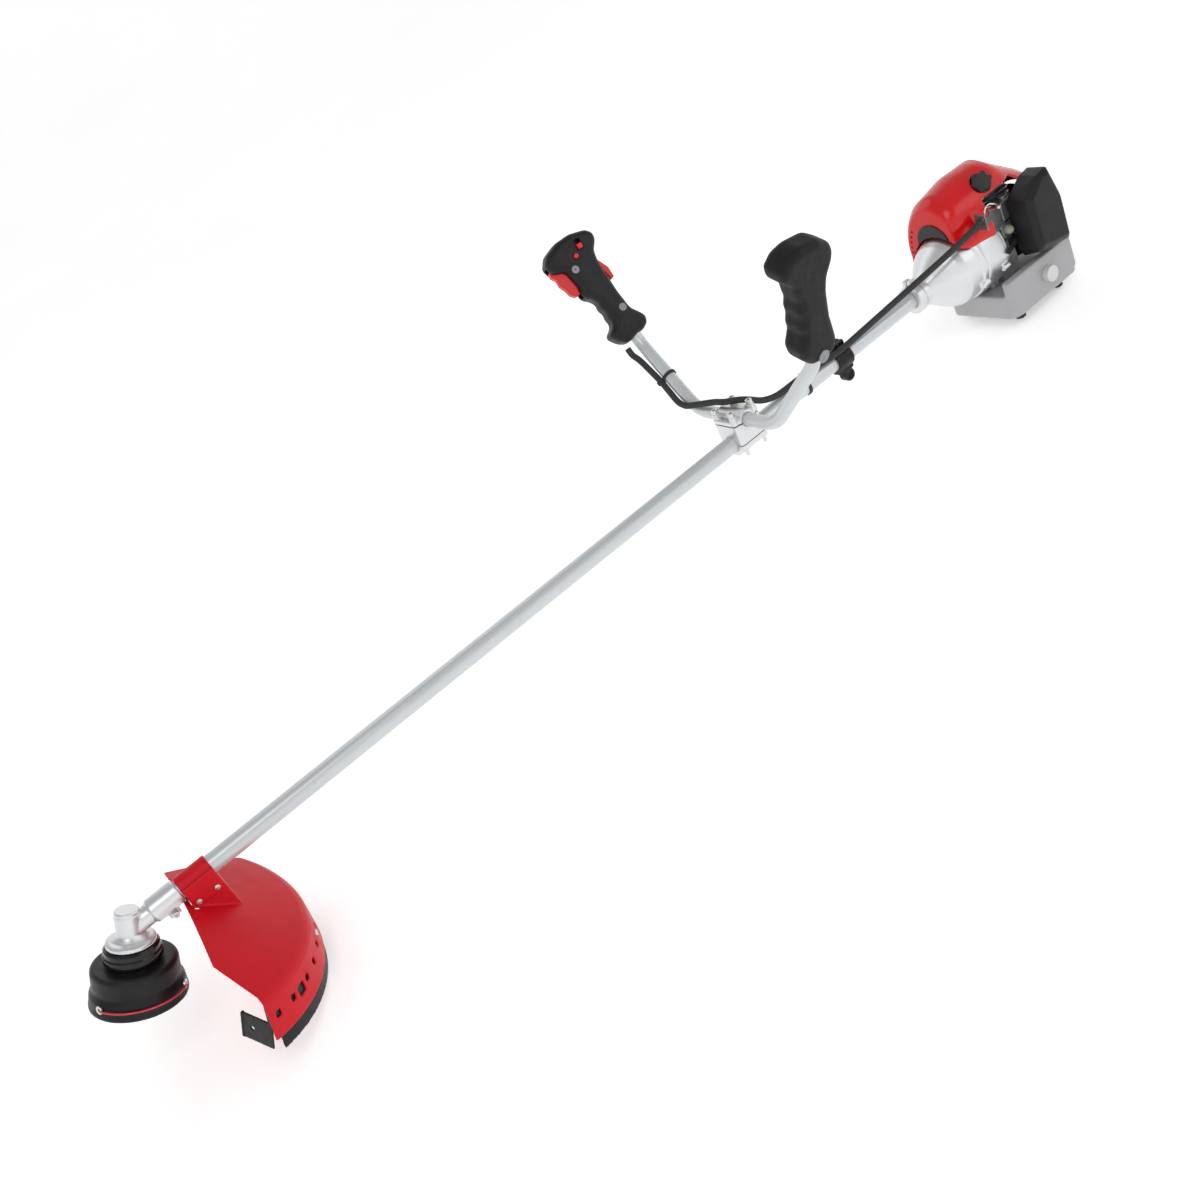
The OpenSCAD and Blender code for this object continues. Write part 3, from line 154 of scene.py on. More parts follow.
def mixed(tree, factor, first, second):
    node = tree.nodes.new("ShaderNodeMix")
    node.data_type = "RGBA"
    tree.links.new(factor, node.inputs["Factor"])
    for slot_index, value in ((6, first), (7, second)):
        if isinstance(value, bpy.types.NodeSocket):
            tree.links.new(value, node.inputs[slot_index])
        else:
            node.inputs[slot_index].default_value = (*value, 1.0)
    return node.outputs[2]


def finish_of(name, base, shade, metallic=0.0, rough=0.4, spread=0.08, mottle=35.0,
              grain="noise", grain_scale=900.0, depth=0.00005, strength=0.35, worn=None,
              painted_hollow_shade=None, coat=0.0, sheen=0.0, specular=0.5, soft=0.0, glow=0.0):
    """A finish with mottled colour, uneven gloss, surface grain, worn edges and painted shade
    in hollows.
    """
    found = bpy.data.materials.get(name)
    if found:
        return found
    material = bpy.data.materials.new(name)
    material.use_nodes = True
    tree = material.node_tree
    links = tree.links
    shader = tree.nodes["Principled BSDF"]
    shader.inputs["Metallic"].default_value = metallic
    shader.inputs["Specular IOR Level"].default_value = specular
    shader.inputs["Coat Weight"].default_value = coat
    shader.inputs["Coat Roughness"].default_value = 0.12
    shader.inputs["Sheen Weight"].default_value = sheen
    if glow:
        shader.inputs["Emission Color"].default_value = (1.0, 1.0, 1.0, 1.0)
        shader.inputs["Emission Strength"].default_value = glow
    if soft:
        shader.inputs["Subsurface Weight"].default_value = soft
        shader.inputs["Subsurface Radius"].default_value = (0.02, 0.02, 0.02)
    place = tree.nodes.new("ShaderNodeTexCoord").outputs["Object"]

    patches = add(tree, "ShaderNodeTexNoise", Scale=mottle, Detail=6.0, Roughness=0.6)
    links.new(place, patches.inputs["Vector"])
    tone = remap(tree, patches.outputs["Fac"], 0.35, 0.68, 0.0, 1.0)
    paint = mixed(tree, tone, base, shade)
    if worn:
        edge = tree.nodes.new("ShaderNodeNewGeometry").outputs["Pointiness"]
        scuffs = add(tree, "ShaderNodeTexNoise", Scale=420.0, Detail=4.0)
        links.new(place, scuffs.inputs["Vector"])
        rubbed = remap(tree, edge, 0.515, 0.60, 0.0, 1.0)
        broken = tree.nodes.new("ShaderNodeMath")
        broken.operation = "MULTIPLY"
        links.new(rubbed, broken.inputs[0])
        links.new(remap(tree, scuffs.outputs["Fac"], 0.35, 0.65, 0.15, 0.8),
                  broken.inputs[1])
        paint = mixed(tree, broken.outputs[0], paint, worn)
    # Painted shade: where pointiness falls below 0.49, in creases and hollows, the colour is
    # darkened towards this shade colour.
    if painted_hollow_shade:
        hollow = tree.nodes.new("ShaderNodeNewGeometry").outputs["Pointiness"]
        paint = mixed(tree, remap(tree, hollow, 0.49, 0.42, 0.0, 0.8), paint, painted_hollow_shade)
    links.new(paint, shader.inputs["Base Color"])

    smudge = add(tree, "ShaderNodeTexNoise", Scale=mottle * 3.1, Detail=3.0)
    links.new(place, smudge.inputs["Vector"])
    links.new(remap(tree, smudge.outputs["Fac"], 0.3, 0.7, rough - spread, rough + spread),
              shader.inputs["Roughness"])

    if grain == "pebble":
        surface = add(tree, "ShaderNodeTexVoronoi", Scale=grain_scale)
        height = surface.outputs["Distance"]
    else:
        surface = add(tree, "ShaderNodeTexNoise", Scale=grain_scale, Detail=3.0)
        height = surface.outputs["Fac"]
    if grain == "drawn":
        along = add(tree, "ShaderNodeMapping", Scale=(0.02, 1.0, 1.0))
        links.new(place, along.inputs["Vector"])
        links.new(along.outputs["Vector"], surface.inputs["Vector"])
    elif grain == "turned":
        along = add(tree, "ShaderNodeMapping", Scale=(1.0, 0.08, 0.08))
        links.new(place, along.inputs["Vector"])
        links.new(along.outputs["Vector"], surface.inputs["Vector"])
    else:
        links.new(place, surface.inputs["Vector"])
    relief = add(tree, "ShaderNodeBump", Strength=strength, Distance=depth)
    links.new(height, relief.inputs["Height"])
    links.new(relief.outputs["Normal"], shader.inputs["Normal"])
    return material


def tinted(rgb, factor):
    return tuple(min(1.0, c * factor) for c in rgb)


def finishes():
    """Every finish of the machine, by a plain name."""
    p = bpy.context.scene.trimmer_paints
    return {
        "cast": finish_of("cast_aluminium", p.cast, tinted(p.cast, 0.86), metallic=0.55,
                          rough=0.42, spread=0.07, mottle=60, grain_scale=1500,
                          depth=0.00012, strength=0.45, worn=(0.46, 0.48, 0.50),
                          # the last colour is painted shade for the casting's creases and
                          # hollows
                          painted_hollow_shade=(0.12, 0.13, 0.14)),
        "dark_cast": finish_of("sooty_casting", (0.22, 0.23, 0.24), (0.13, 0.14, 0.14),
                               metallic=0.8, rough=0.42, mottle=70, grain_scale=1300,
                               depth=0.00015, strength=0.5, worn=(0.6, 0.6, 0.6)),
        "tube": finish_of("silver_paint", p.tube, tinted(p.tube, 0.96), metallic=0.35,
                          rough=0.30, spread=0.03, mottle=9, grain_scale=2600,
                          depth=0.00001, strength=0.12, coat=0.3),
        "chrome": finish_of("bright_chrome", (0.80, 0.80, 0.81), (0.72, 0.73, 0.75),
                            metallic=1.0, rough=0.10, spread=0.04, mottle=25,
                            grain="drawn", grain_scale=1800, depth=0.00001, strength=0.2),
        "steel": finish_of("turned_steel", p.steel, tinted(p.steel, 0.8), metallic=1.0,
                           rough=0.28, mottle=90, grain="turned", grain_scale=2400,
                           depth=0.00003, strength=0.35),
        "zinc": finish_of("zinc_screws", (0.78, 0.77, 0.74), (0.60, 0.59, 0.55),
                          metallic=1.0, rough=0.24, mottle=300, grain_scale=3000,
                          depth=0.00002, strength=0.3),
        "red": finish_of("red_gloss_plastic", p.red, tinted(p.red, 0.9), rough=0.20,
                         spread=0.05, mottle=9, grain_scale=1100, depth=0.00003,
                         strength=0.22, worn=(0.74, 0.03, 0.03), coat=0.15, specular=0.35),
        "guard": finish_of("guard_plastic", p.guard_red, tinted(p.guard_red, 0.92),
                           rough=0.42, spread=0.07, mottle=11, grain_scale=1000,
                           depth=0.00004, strength=0.3, worn=(0.68, 0.03, 0.04),
                           specular=0.22),
        "black": finish_of("black_moulding", p.black, tinted(p.black, 1.6), rough=0.40,
                           spread=0.08, mottle=40, grain_scale=1500, depth=0.00008,
                           strength=0.4, worn=(0.045, 0.045, 0.045), specular=0.28),
        "gloss_black": finish_of("gloss_black_plastic", (0.004, 0.004, 0.004),
                                 (0.008, 0.008, 0.008), rough=0.12, spread=0.05,
                                 mottle=60, grain_scale=900, depth=0.00002, strength=0.2,
                                 coat=0.1, specular=0.35),
        "grip": finish_of("soft_grip", p.grip_black, tinted(p.grip_black, 1.5), rough=0.58,
                          spread=0.06, mottle=50, grain="pebble", grain_scale=1100,
                          depth=0.00016, strength=0.5, sheen=0.04, specular=0.22),
        "rubber": finish_of("black_rubber", (0.010, 0.010, 0.010), (0.016, 0.016, 0.016),
                            rough=0.48, mottle=120, grain_scale=1800, depth=0.00006,
                            strength=0.4, specular=0.28),
        "tank": finish_of("milky_tank", p.tank, tinted(p.tank, 0.96), rough=0.34,
                          spread=0.06, mottle=12, grain_scale=900, depth=0.00005,
                          strength=0.3, soft=0.35),
        "cap": finish_of("cap_plastic", (0.68, 0.68, 0.67), (0.60, 0.60, 0.59), rough=0.36,
                         mottle=60, grain_scale=1500, depth=0.00005, strength=0.3),
        "grey_disc": finish_of("grey_plastic", (0.27, 0.27, 0.28), (0.22, 0.22, 0.23),
                               rough=0.4, mottle=150, grain_scale=2200, depth=0.00005,
                               strength=0.4),
        "line": finish_of("nylon_line", p.line, tinted(p.line, 0.8), rough=0.22,
                          mottle=200, grain="drawn", grain_scale=1400, depth=0.00004,
                          strength=0.3, coat=0.3),
        "ceramic": finish_of("plug_ceramic", (0.75, 0.74, 0.70), (0.62, 0.60, 0.55),
                             rough=0.25, mottle=150, grain_scale=800, depth=0.00002),
        "bulb": finish_of("primer_rubber", (0.36, 0.34, 0.28), (0.28, 0.26, 0.22),
                          rough=0.3, mottle=200, grain_scale=900, depth=0.00003,
                          soft=0.4),
        "sooty": finish_of("sooty_steel", (0.20, 0.18, 0.16), (0.09, 0.08, 0.07),
                           metallic=0.9, rough=0.5, spread=0.12, mottle=45,
                           grain_scale=1200, depth=0.00008, strength=0.5),
    }


# ---------------------------------------------------------------- mesh helpers


def dressed(obj, material):
    obj.data.materials.clear()
    obj.data.materials.append(material)


def paint_nodes(material, *names):
    """Gives CAD nodes that keep their own shape a finish."""
    for name in names:
        dressed(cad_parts[name], material)


def evaluated(obj):
    """Replaces an object's mesh by what its modifiers make of it."""
    graph = bpy.context.evaluated_depsgraph_get()
    made = bpy.data.meshes.new_from_object(obj.evaluated_get(graph))
    old = obj.data
    obj.modifiers.clear()
    obj.data = made
    bpy.data.meshes.remove(old)


def linked(name, mesh):
    obj = bpy.data.objects.new(name, mesh)
    bpy.context.scene.collection.objects.link(obj)
    return obj


def from_bmesh(name, bm):
    mesh = bpy.data.meshes.new(name)
    bmesh.ops.recalc_face_normals(bm, faces=bm.faces)
    if bm.calc_volume(signed=True) < 0:
        bmesh.ops.reverse_faces(bm, faces=bm.faces)
    bm.to_mesh(mesh)
    bm.free()
    return linked(name, mesh)


def smooth(obj, angle=35.0):
    """Smooth shading, with the edges over an angle kept sharp."""
    bm = bmesh.new()
    bm.from_mesh(obj.data)
    limit = math.radians(angle)
    for face in bm.faces:
        face.smooth = True
    for edge in bm.edges:
        edge.smooth = len(edge.link_faces) != 2 or edge.calc_face_angle(0.0) < limit
    bm.to_mesh(obj.data)
    bm.free()
    return obj


def settled(obj, material, body, slot_name, *nodes):
    """Finishes a piece: material, body and the CAD nodes that it stands for, which are hidden;
    slot_name is not used.
    """
    dressed(obj, material)
    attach(obj, body)
    if nodes:
        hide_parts(*nodes)


def cad_copy(name, *nodes):
    """A welded copy of CAD nodes as one new object."""
    bm = bmesh.new()
    for node in nodes:
        bm.from_mesh(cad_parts[node].data)
    bmesh.ops.remove_doubles(bm, verts=bm.verts, dist=2e-6)
    return from_bmesh(name, bm)


def remeshed(obj, voxel, rounds):
    shell = obj.modifiers.new("cells", "REMESH")
    shell.mode = "VOXEL"
    shell.voxel_size = voxel
    ease = obj.modifiers.new("ease", "SMOOTH")
    ease.factor = 0.5
    ease.iterations = rounds
    evaluated(obj)
    for polygon in obj.data.polygons:
        polygon.use_smooth = True
    return obj


def recast(name, nodes, voxel, rounds, material, body, slot_name):
    """A casting or moulding with soft edges and filleted corners, from its CAD nodes."""
    obj = remeshed(cad_copy(name, *nodes), voxel, rounds)
    settled(obj, material, body, slot_name, *nodes)


def cut_by(obj, *cutters):
    """Takes closed cutters out of a closed piece, and removes them."""
    for cutter in cutters:
        step = obj.modifiers.new("cut", "BOOLEAN")
        step.operation = "DIFFERENCE"
        step.solver = "MANIFOLD"
        step.object = cutter
    evaluated(obj)
    for cutter in cutters:
        bpy.data.objects.remove(cutter)


def box_cutter(low, high, place=on_engine):
    bm = bmesh.new()
    corners = [bm.verts.new(place(x, y, z)) for x in (low[0], high[0])
               for y in (low[1], high[1]) for z in (low[2], high[2])]
    bmesh.ops.convex_hull(bm, input=corners)
    return from_bmesh("cutter", bm)


def rod_cutter(start, end, radius, sides=64):
    bm = bmesh.new()
    axis = end - start
    turn = axis.to_track_quat("Z", "Y").to_matrix().to_4x4()
    place = Matrix.Translation((start + end) / 2) @ turn
    bmesh.ops.create_cone(bm, cap_ends=True, segments=sides, radius1=radius,
                          radius2=radius, depth=axis.length, matrix=place)
    return from_bmesh("cutter", bm)


def rounded_outline(points, radius, steps=6):
    """The closed outline with each corner turned on about the radius."""
    out = []
    count = len(points)
    for i in range(count):
        here = Vector(points[i])
        before = Vector(points[i - 1]) - here
        after = Vector(points[(i + 1) % count]) - here
        a = before.normalized() * min(radius, before.length * 0.48)
        b = after.normalized() * min(radius, after.length * 0.48)
        for k in range(steps + 1):
            t = k / steps
            out.append(here + a * (1 - t) ** 2 + b * t ** 2)
    return out


def inset_outline(points, amount):
    """Moves each point of a closed outline inwards, square to the line there."""
    count = len(points)
    area = sum(points[i - 1].cross(points[i]) for i in range(count))
    sign = 1.0 if area > 0 else -1.0
    out = []
    for i in range(count):
        along = (points[(i + 1) % count] - points[i - 1])
        if along.length < 1e-9:
            out.append(points[i].copy())
            continue
        normal = Vector((-along.y, along.x)).normalized() * sign
        out.append(points[i] + normal * amount)
    return out


def lofted(name, rings):
    """Skins closed rings of equal count, with both ends capped."""
    bm = bmesh.new()
    made = [[bm.verts.new(p) for p in ring] for ring in rings]
    count = len(made[0])
    for first, second in zip(made, made[1:]):
        for i in range(count):
            j = (i + 1) % count
            bm.faces.new((first[i], first[j], second[j], second[i]))
    bm.faces.new(list(reversed(made[0])))
    bm.faces.new(made[-1])
    return from_bmesh(name, bm)


def pillow(name, outline, low, high, edge, place, steps=6):
    """An outline pushed from low to high, its rims rounded to the edge radius."""
    rings = []
    for k in range(steps + 1):
        a = math.pi / 2 * k / steps
        inner = inset_outline(outline, edge * (1 - math.sin(a)))
        depth = low + edge * (1 - math.cos(a))
        rings.append([place(p.x, depth, p.y) for p in inner])
    for k in range(steps + 1):
        a = math.pi / 2 * (1 - k / steps)
        inner = inset_outline(outline, edge * (1 - math.sin(a)))
        depth = high - edge * (1 - math.cos(a))
        rings.append([place(p.x, depth, p.y) for p in inner])
    return lofted(name, rings)


def spline_points(points, per_span, closed=False):
    """Points of a smooth curve through the given ones."""
    count = len(points)
    out = []
    spans = count if closed else count - 1
    for i in range(spans):
        if closed:
            p = [Vector(points[(i + k) % count]) for k in (-1, 0, 1, 2)]
        else:
            p = [Vector(points[min(max(i + k, 0), count - 1)]) for k in (-1, 0, 1, 2)]
        for k in range(per_span):
            t = k / per_span
            out.append(0.5 * ((2 * p[1]) + (p[2] - p[0]) * t
                              + (2 * p[0] - 5 * p[1] + 4 * p[2] - p[3]) * t * t
                              + (3 * p[1] - p[0] - 3 * p[2] + p[3]) * t ** 3))
    if not closed:
        out.append(Vector(points[-1]))
    return out


def hose(name, points, radius, sides=16):
    """A round tube along a smooth line, with flat capped ends."""
    count = len(points)
    rings = []
    side = None
    for i, here in enumerate(points):
        along = (points[min(i + 1, count - 1)] - points[max(i - 1, 0)]).normalized()
        if side is None:
            side = along.cross(Vector((0, 0.3, 1))).normalized()
        side = (side - along * side.dot(along)).normalized()
        up = along.cross(side)
        rings.append([here + radius * (math.cos(a) * side + math.sin(a) * up)
                      for a in (2 * math.pi * k / sides for k in range(sides))])
    obj = lofted(name, rings)
    return smooth(obj, 50)


# ---------------------------------------------------------------- stage


STUDIO_LIGHTS = (
    ("key_light", (-1.6, -2.2, 3.0), (-0.3, 0, 0.1), 20, 1.8),
    ("fill_light", (1.8, -2.6, 1.8), (0.1, 0, 0.1), 7, 2.0),
    ("rim_light", (-0.2, 2.6, 2.6), (-0.3, 0, 0.1), 10, 2.2))
SKY_STRENGTH = 0.46
FLOOR_CELLS = 60
FLOOR_GAP = 0.002
FLAT_REACH = 6.0
RISE = 0.05


def view_matrix():
    """The camera's place and turn."""
    right = Vector((0.73614, -0.52922, -0.42193))
    up = Vector((0.60378, 0.23175, 0.76272))
    back = Vector((-0.30586, -0.81622, 0.49013))
    turn = Matrix((right, up, back)).transposed().to_4x4()
    return Matrix.Translation(Vector((-1.1028, -1.5152, 0.8774))) @ turn


class TRIMMER_OT_stage(bpy.types.Operator):
    """Makes the camera, the soft lights and the pale floor"""

    bl_idname = "trimmer.stage"
    bl_label = "Stage"

    def execute(self, context):
        scene = context.scene
        sizes = scene.trimmer_sizes
        data = bpy.data.cameras.new("view_camera")
        data.lens = sizes.lens
        data.sensor_width = 36.0
        data.clip_end = 200.0
        camera = linked("view_camera", data)
        camera.matrix_world = view_matrix()
        scene.camera = camera

        # The floor is a sloped plane just under the skirt and the stand's feet. It rises
        # far away, so that it fills the view.
        skirt_low, skirt_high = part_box("guard_skirt")
        stand_low, stand_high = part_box("engine_stand")
        front = Vector(((skirt_low.x * 0.35 + skirt_high.x * 0.65), 0, skirt_low.z - FLOOR_GAP))
        rear = Vector((stand_high.x - 0.02, 0, stand_low.z - FLOOR_GAP))
        slope = (rear.z - front.z) / (rear.x - front.x)
        half = sizes.floor_size / 2
        bm = bmesh.new()
        bmesh.ops.create_grid(bm, x_segments=FLOOR_CELLS,
                              y_segments=FLOOR_CELLS, size=half)
        for vert in bm.verts:
            vert.co.z = front.z + slope * (vert.co.x - front.x)
            reach = math.hypot(vert.co.x, vert.co.y)
            vert.co.z += max(0.0, reach - FLAT_REACH) ** 2 * RISE
        floor = from_bmesh("floor", bm)
        dressed(floor, finish_of("pale_floor", (0.93, 0.93, 0.93), (0.90, 0.90, 0.90),
                                 rough=0.7, mottle=0.6, grain_scale=30, depth=0.0002,
                                 strength=0.05, specular=0.1, glow=0.42))

        for name, spot, aim, power, size in STUDIO_LIGHTS:
            light = bpy.data.lights.new(name, "AREA")
            light.energy = power
            light.shape = "DISK"
            light.size = size
            lamp = linked(name, light)
            direction = Vector(aim) - Vector(spot)
            lamp.matrix_world = (Matrix.Translation(Vector(spot))
                                 @ direction.to_track_quat("-Z", "Y").to_matrix().to_4x4())

        world = bpy.data.worlds.new("studio")
        world.use_nodes = True
        sky = world.node_tree.nodes["Background"]
        sky.inputs["Color"].default_value = (1.0, 1.0, 1.0, 1.0)
        sky.inputs["Strength"].default_value = SKY_STRENGTH
        scene.world = world
        scene.view_settings.view_transform = "Standard"
        return {"FINISHED"}


# ---------------------------------------------------------------- cutting end


class TRIMMER_OT_cutting_head(bpy.types.Operator):
    """Finishes the line head, its knob, its cup and its line"""

    bl_idname = "trimmer.cutting_head"
    bl_label = "Cutting head"

    def execute(self, context):
        f = finishes()
        voxel = context.scene.trimmer_sizes.casting_voxel
        recast("head_drum", ["head_housing"], voxel * 0.9, 3, f["black"], "head",
               "black_plastic")
        recast("feed_knob", ["bump_knob"], voxel, 3, f["black"], "bump", "black_plastic")
        paint_nodes(f["gloss_black"], "dust_cup")
        paint_nodes(f["black"], "line_spool")
        paint_nodes(f["zinc"], "line_eyelets")
        paint_nodes(f["line"], "cutting_line")
        paint_nodes(f["steel"], "spindle", "pinion", "ball_bearings")
        return {"FINISHED"}


class TRIMMER_OT_gear_case(bpy.types.Operator):
    """Gives the gear case its cast skin and soft fillets"""

    bl_idname = "trimmer.gear_case"
    bl_label = "Gear case"

    def execute(self, context):
        voxel = context.scene.trimmer_sizes.casting_voxel
        recast("gear_casting", ["gear_case"], voxel * 0.8, 7, finishes()["cast"], "frame",
               "cast_aluminium")
        return {"FINISHED"}


HOOK_PROFILE = ((212.6, -28), (211.0, -28), (217.5, -56), (223.0, -56))
HOOK_START = -60.5
HOOK_TURN = 52.5
HOOK_STEPS = 40
HOOK_WAVE = 0.35


def hook_strip(name):
    """A black band inside the guard, behind its row of slots."""
    tilt = (Matrix.Translation(on_shaft(HEAD_X, 0, SHAFT_Z))
            @ Matrix.Rotation(HEAD_TILT, 4, "Y") @ Matrix.Rotation(HEAD_ROLL, 4, "X"))
    rings = []
    for k in range(HOOK_STEPS + 1):
        a = math.radians(HOOK_START + HOOK_TURN * k / HOOK_STEPS)
        wave = HOOK_WAVE * math.sin(k * 1.9)
        rings.append([tilt @ Vector(((r + wave) * MM * math.cos(a),
                                     (r + wave) * MM * math.sin(a), h * MM))
                      for r, h in HOOK_PROFILE])
    return smooth(lofted(name, rings), 30)


class TRIMMER_OT_guard(bpy.types.Operator):
    """Finishes the guard, its bracket, its skirt and its cutter"""

    bl_idname = "trimmer.guard"
    bl_label = "Guard"

    def execute(self, context):
        f = finishes()
        voxel = context.scene.trimmer_sizes.moulding_voxel
        recast("guard_shell", ["guard"], voxel * 0.85, 3, f["guard"], "frame", "red_gloss")
        recast("guard_saddle", ["guard_bracket"], voxel * 0.7, 3, f["guard"], "frame",
               "red_gloss")
        recast("skirt_shell", ["guard_skirt"], voxel, 3, f["black"], "frame",
               "black_plastic")
        hooks = hook_strip("skirt_hooks")
        settled(hooks, f["black"], "frame", "black_plastic")
        recast("cutter_plate", ["line_cutter"], voxel * 0.7, 2, f["black"], "frame",
               "black_plastic")
        paint_nodes(f["zinc"], "panel_screws")
        return {"FINISHED"}


# ---------------------------------------------------------------- shaft and handlebar


class TRIMMER_OT_shaft(bpy.types.Operator):
    """Finishes the shaft tube, its drive and the harness bracket"""

    bl_idname = "trimmer.shaft"
    bl_label = "Shaft"

    def execute(self, context):
        f = finishes()
        voxel = context.scene.trimmer_sizes.casting_voxel
        paint_nodes(f["tube"], "shaft_tube")
        paint_nodes(f["steel"], "drive_shaft")
        paint_nodes(f["rubber"], "shaft_bushings")
        paint_nodes(f["zinc"], "socket_screws")
        recast("harness_bracket", ["hanger_bracket"], voxel * 0.7, 3, f["black"], "frame",
               "black_plastic")
        return {"FINISHED"}


class TRIMMER_OT_handlebar(bpy.types.Operator):
    """Finishes the handlebar tubes and the clamp"""

    bl_idname = "trimmer.handlebar"
    bl_label = "Handlebar"

    def execute(self, context):
        f = finishes()
        voxel = context.scene.trimmer_sizes.casting_voxel
        paint_nodes(f["tube"], "handlebar_left", "handlebar_right")
        for name, node in (("clamp_base", "clamp_lower"), ("clamp_block", "clamp_middle"),
                           ("clamp_top", "clamp_cap")):
            recast(name, [node], voxel * 0.8, 4, f["cast"], "frame", "cast_aluminium")
        return {"FINISHED"}


LEFT_OUTLINE = [(-53, 183), (-38, 196), (-18, 199), (14, 193), (33, 177), (36, 164),
                (33, 152), (23, 135), (20, 115), (22, 75), (27, 50), (30, 34), (24, 17),
                (6, 13), (-16, 17), (-30, 33), (-34, 49), (-29, 63), (-26, 72), (-29, 82),
                (-26, 96), (-29, 108), (-26, 121), (-30, 134), (-32, 150), (-51, 168)]

THROTTLE_OUTLINE = [(28, 189), (36, 179), (34, 168), (21, 155), (17, 142), (15, 128),
                    (15, 109), (14, 82), (16, 53), (24, 41), (30, 30), (26, 19), (13, 13),
                    (2, 14), (-19, 10), (-30, 17), (-40, 31), (-39, 38), (-28, 44),
                    (-23, 50), (-25, 60), (-22, 68), (-26, 77), (-23, 86), (-28, 95),
                    (-37, 103), (-39, 110), (-36, 124), (-38, 138), (-40, 152), (-60, 161),
                    (-63, 176), (-50, 190), (-27, 197), (1, 197)]


GRIP_CORNER = 5.0
GRIP_RIM = 11.0


def moulded_grip(name, outline, half, side, voxel):
    """A hand grip: a wavy outline pushed through, rounded over and eased."""
    place = grip_matrix(side)
    rough_shape = rounded_outline(outline, GRIP_CORNER, 4)
    obj = pillow(name, rough_shape, -half / MM, half / MM, GRIP_RIM,
                 lambda u, v, w: place @ Vector((u * MM, v * MM, w * MM)))
    return remeshed(obj, voxel, 6)


class TRIMMER_OT_plain_grip(bpy.types.Operator):
    """Makes the plain hand grip with its finger waves"""

    bl_idname = "trimmer.plain_grip"
    bl_label = "Plain grip"

    def execute(self, context):
        f = finishes()
        sizes = context.scene.trimmer_sizes
        grip = moulded_grip("plain_grip", LEFT_OUTLINE, sizes.left_half, -1,
                            sizes.moulding_voxel)
        settled(grip, f["grip"], "frame", "black_rubber", "left_grip")
        return {"FINISHED"}


class TRIMMER_OT_throttle_grip(bpy.types.Operator):
    """Makes the throttle grip with its slots, and finishes its controls"""

    bl_idname = "trimmer.throttle_grip"
    bl_label = "Throttle grip"

    def execute(self, context):
        f = finishes()
        sizes = context.scene.trimmer_sizes
        grip = moulded_grip("throttle_handle", THROTTLE_OUTLINE, sizes.throttle_half, 1,
                            sizes.moulding_voxel)
        place = grip_matrix(1)

        def in_grip(u, v, w):
            return place @ Vector((u * MM, v * MM, w * MM))

        cut_by(grip,
               box_cutter((-80, -5.8, 105.5), (-10.5, 5.8, 172.5), in_grip),
               box_cutter((7.5, -5.8, 100.5), (45, 5.8, 144.5), in_grip),
               box_cutter((-5.4, -40, 167.4), (7.4, -8.6, 184.4), in_grip),
               rod_cutter(in_grip(-14, -40, 163), in_grip(-14, -8, 163), 4.6 * MM),
               box_cutter((-90, -0.35, -10), (-39.5, 0.35, 160), in_grip))
        settled(grip, f["black"], "frame", "black_plastic", "throttle_grip_inner",
                "throttle_grip_outer")
        for name, node, body in (("squeeze_trigger", "throttle_trigger", "trigger"),
                                 ("safety_lever", "lockoff_lever", "lockoff"),
                                 ("stop_slider", "stop_switch", "stop"),
                                 ("hold_stud", "hold_button", "hold")):
            recast(name, [node], CONTROL_VOXEL, 3, f["red"], body, "red_gloss")
        paint_nodes(f["grey_disc"], "grip_plugs")
        return {"FINISHED"}


CABLE = [(-216, 205.5, 164.7), (-215.5, 201, 153), (-213.2, 191, 142.7),
         (-214.3, 171.5, 126.2), (-216, 152.1, 109.6), (-219.3, 134.2, 93.7),
         (-223, 117, 82), (-224, 99, 78), (-220, 80, 79), (-214, 58, 81), (-210, 38, 83),
         (-208, 20, 84), (-203, 8, 84), (-192, 1, 80), (-178, -1, 71), (-160, -2, 58),
         (-140, -3, 50.5), (-120, -4, 48.6), (-80, -5, 48.4), (-45, -9, 47.8),
         (-24, -14, 48), (-3, -15.5, 48.6), (18, -16, 49.5), (50, -19, 53),
         (100, -28, 61), (140, -38, 69), (180, -48, 77), (220, -57, 85), (255, -63, 92),
         (282, -66.5, 98.5)]

WIRE = [(282.1, -66.5, 98.5), (285, -66.9, 99.2), (288, -67.3, 100.2),
        (290.5, -68, 104), (292, -68.6, 109), (295.5, -69.4, 113.4), (301, -70, 115.4),
        (307, -70, 113.5), (313, -70, 110), (319, -69, 106)]


class TRIMMER_OT_throttle_cable(bpy.types.Operator):
    """Makes the throttle cable's sleeve, its bare wire and its ties"""

    bl_idname = "trimmer.throttle_cable"
    bl_label = "Throttle cable"

    def execute(self, context):
        f = finishes()
        sizes = context.scene.trimmer_sizes
        sleeve = hose("cable_hose", spline_points([on_shaft(*p) for p in CABLE], 6),
                      sizes.cable_radius * 0.98)
        settled(sleeve, f["rubber"], "frame", "black_rubber", "cable_sleeve")
        wire = hose("bare_wire", spline_points([on_shaft(*p) for p in WIRE], 8),
                    sizes.wire_radius, 12)
        settled(wire, f["zinc"], "frame", "steel", "throttle_wire")
        paint_nodes(f["rubber"], "cable_ties")
        return {"FINISHED"}


# ---------------------------------------------------------------- engine


class TRIMMER_OT_clutch_end(bpy.types.Operator):
    """Finishes the clutch and fan castings"""

    bl_idname = "trimmer.clutch_end"
    bl_label = "Clutch and fan cases"

    def execute(self, context):
        f = finishes()
        voxel = context.scene.trimmer_sizes.casting_voxel
        recast("clutch_casting", ["clutch_housing"], voxel * 1.1, 5, f["cast"], "frame",
               "cast_aluminium")
        recast("fan_casting", ["fan_case"], voxel, 4, f["cast"], "frame",
               "cast_aluminium")
        paint_nodes(f["steel"], "clutch_drum", "crankshaft")
        paint_nodes(f["dark_cast"], "clutch_shoes")
        paint_nodes(f["cast"], "flywheel")
        return {"FINISHED"}


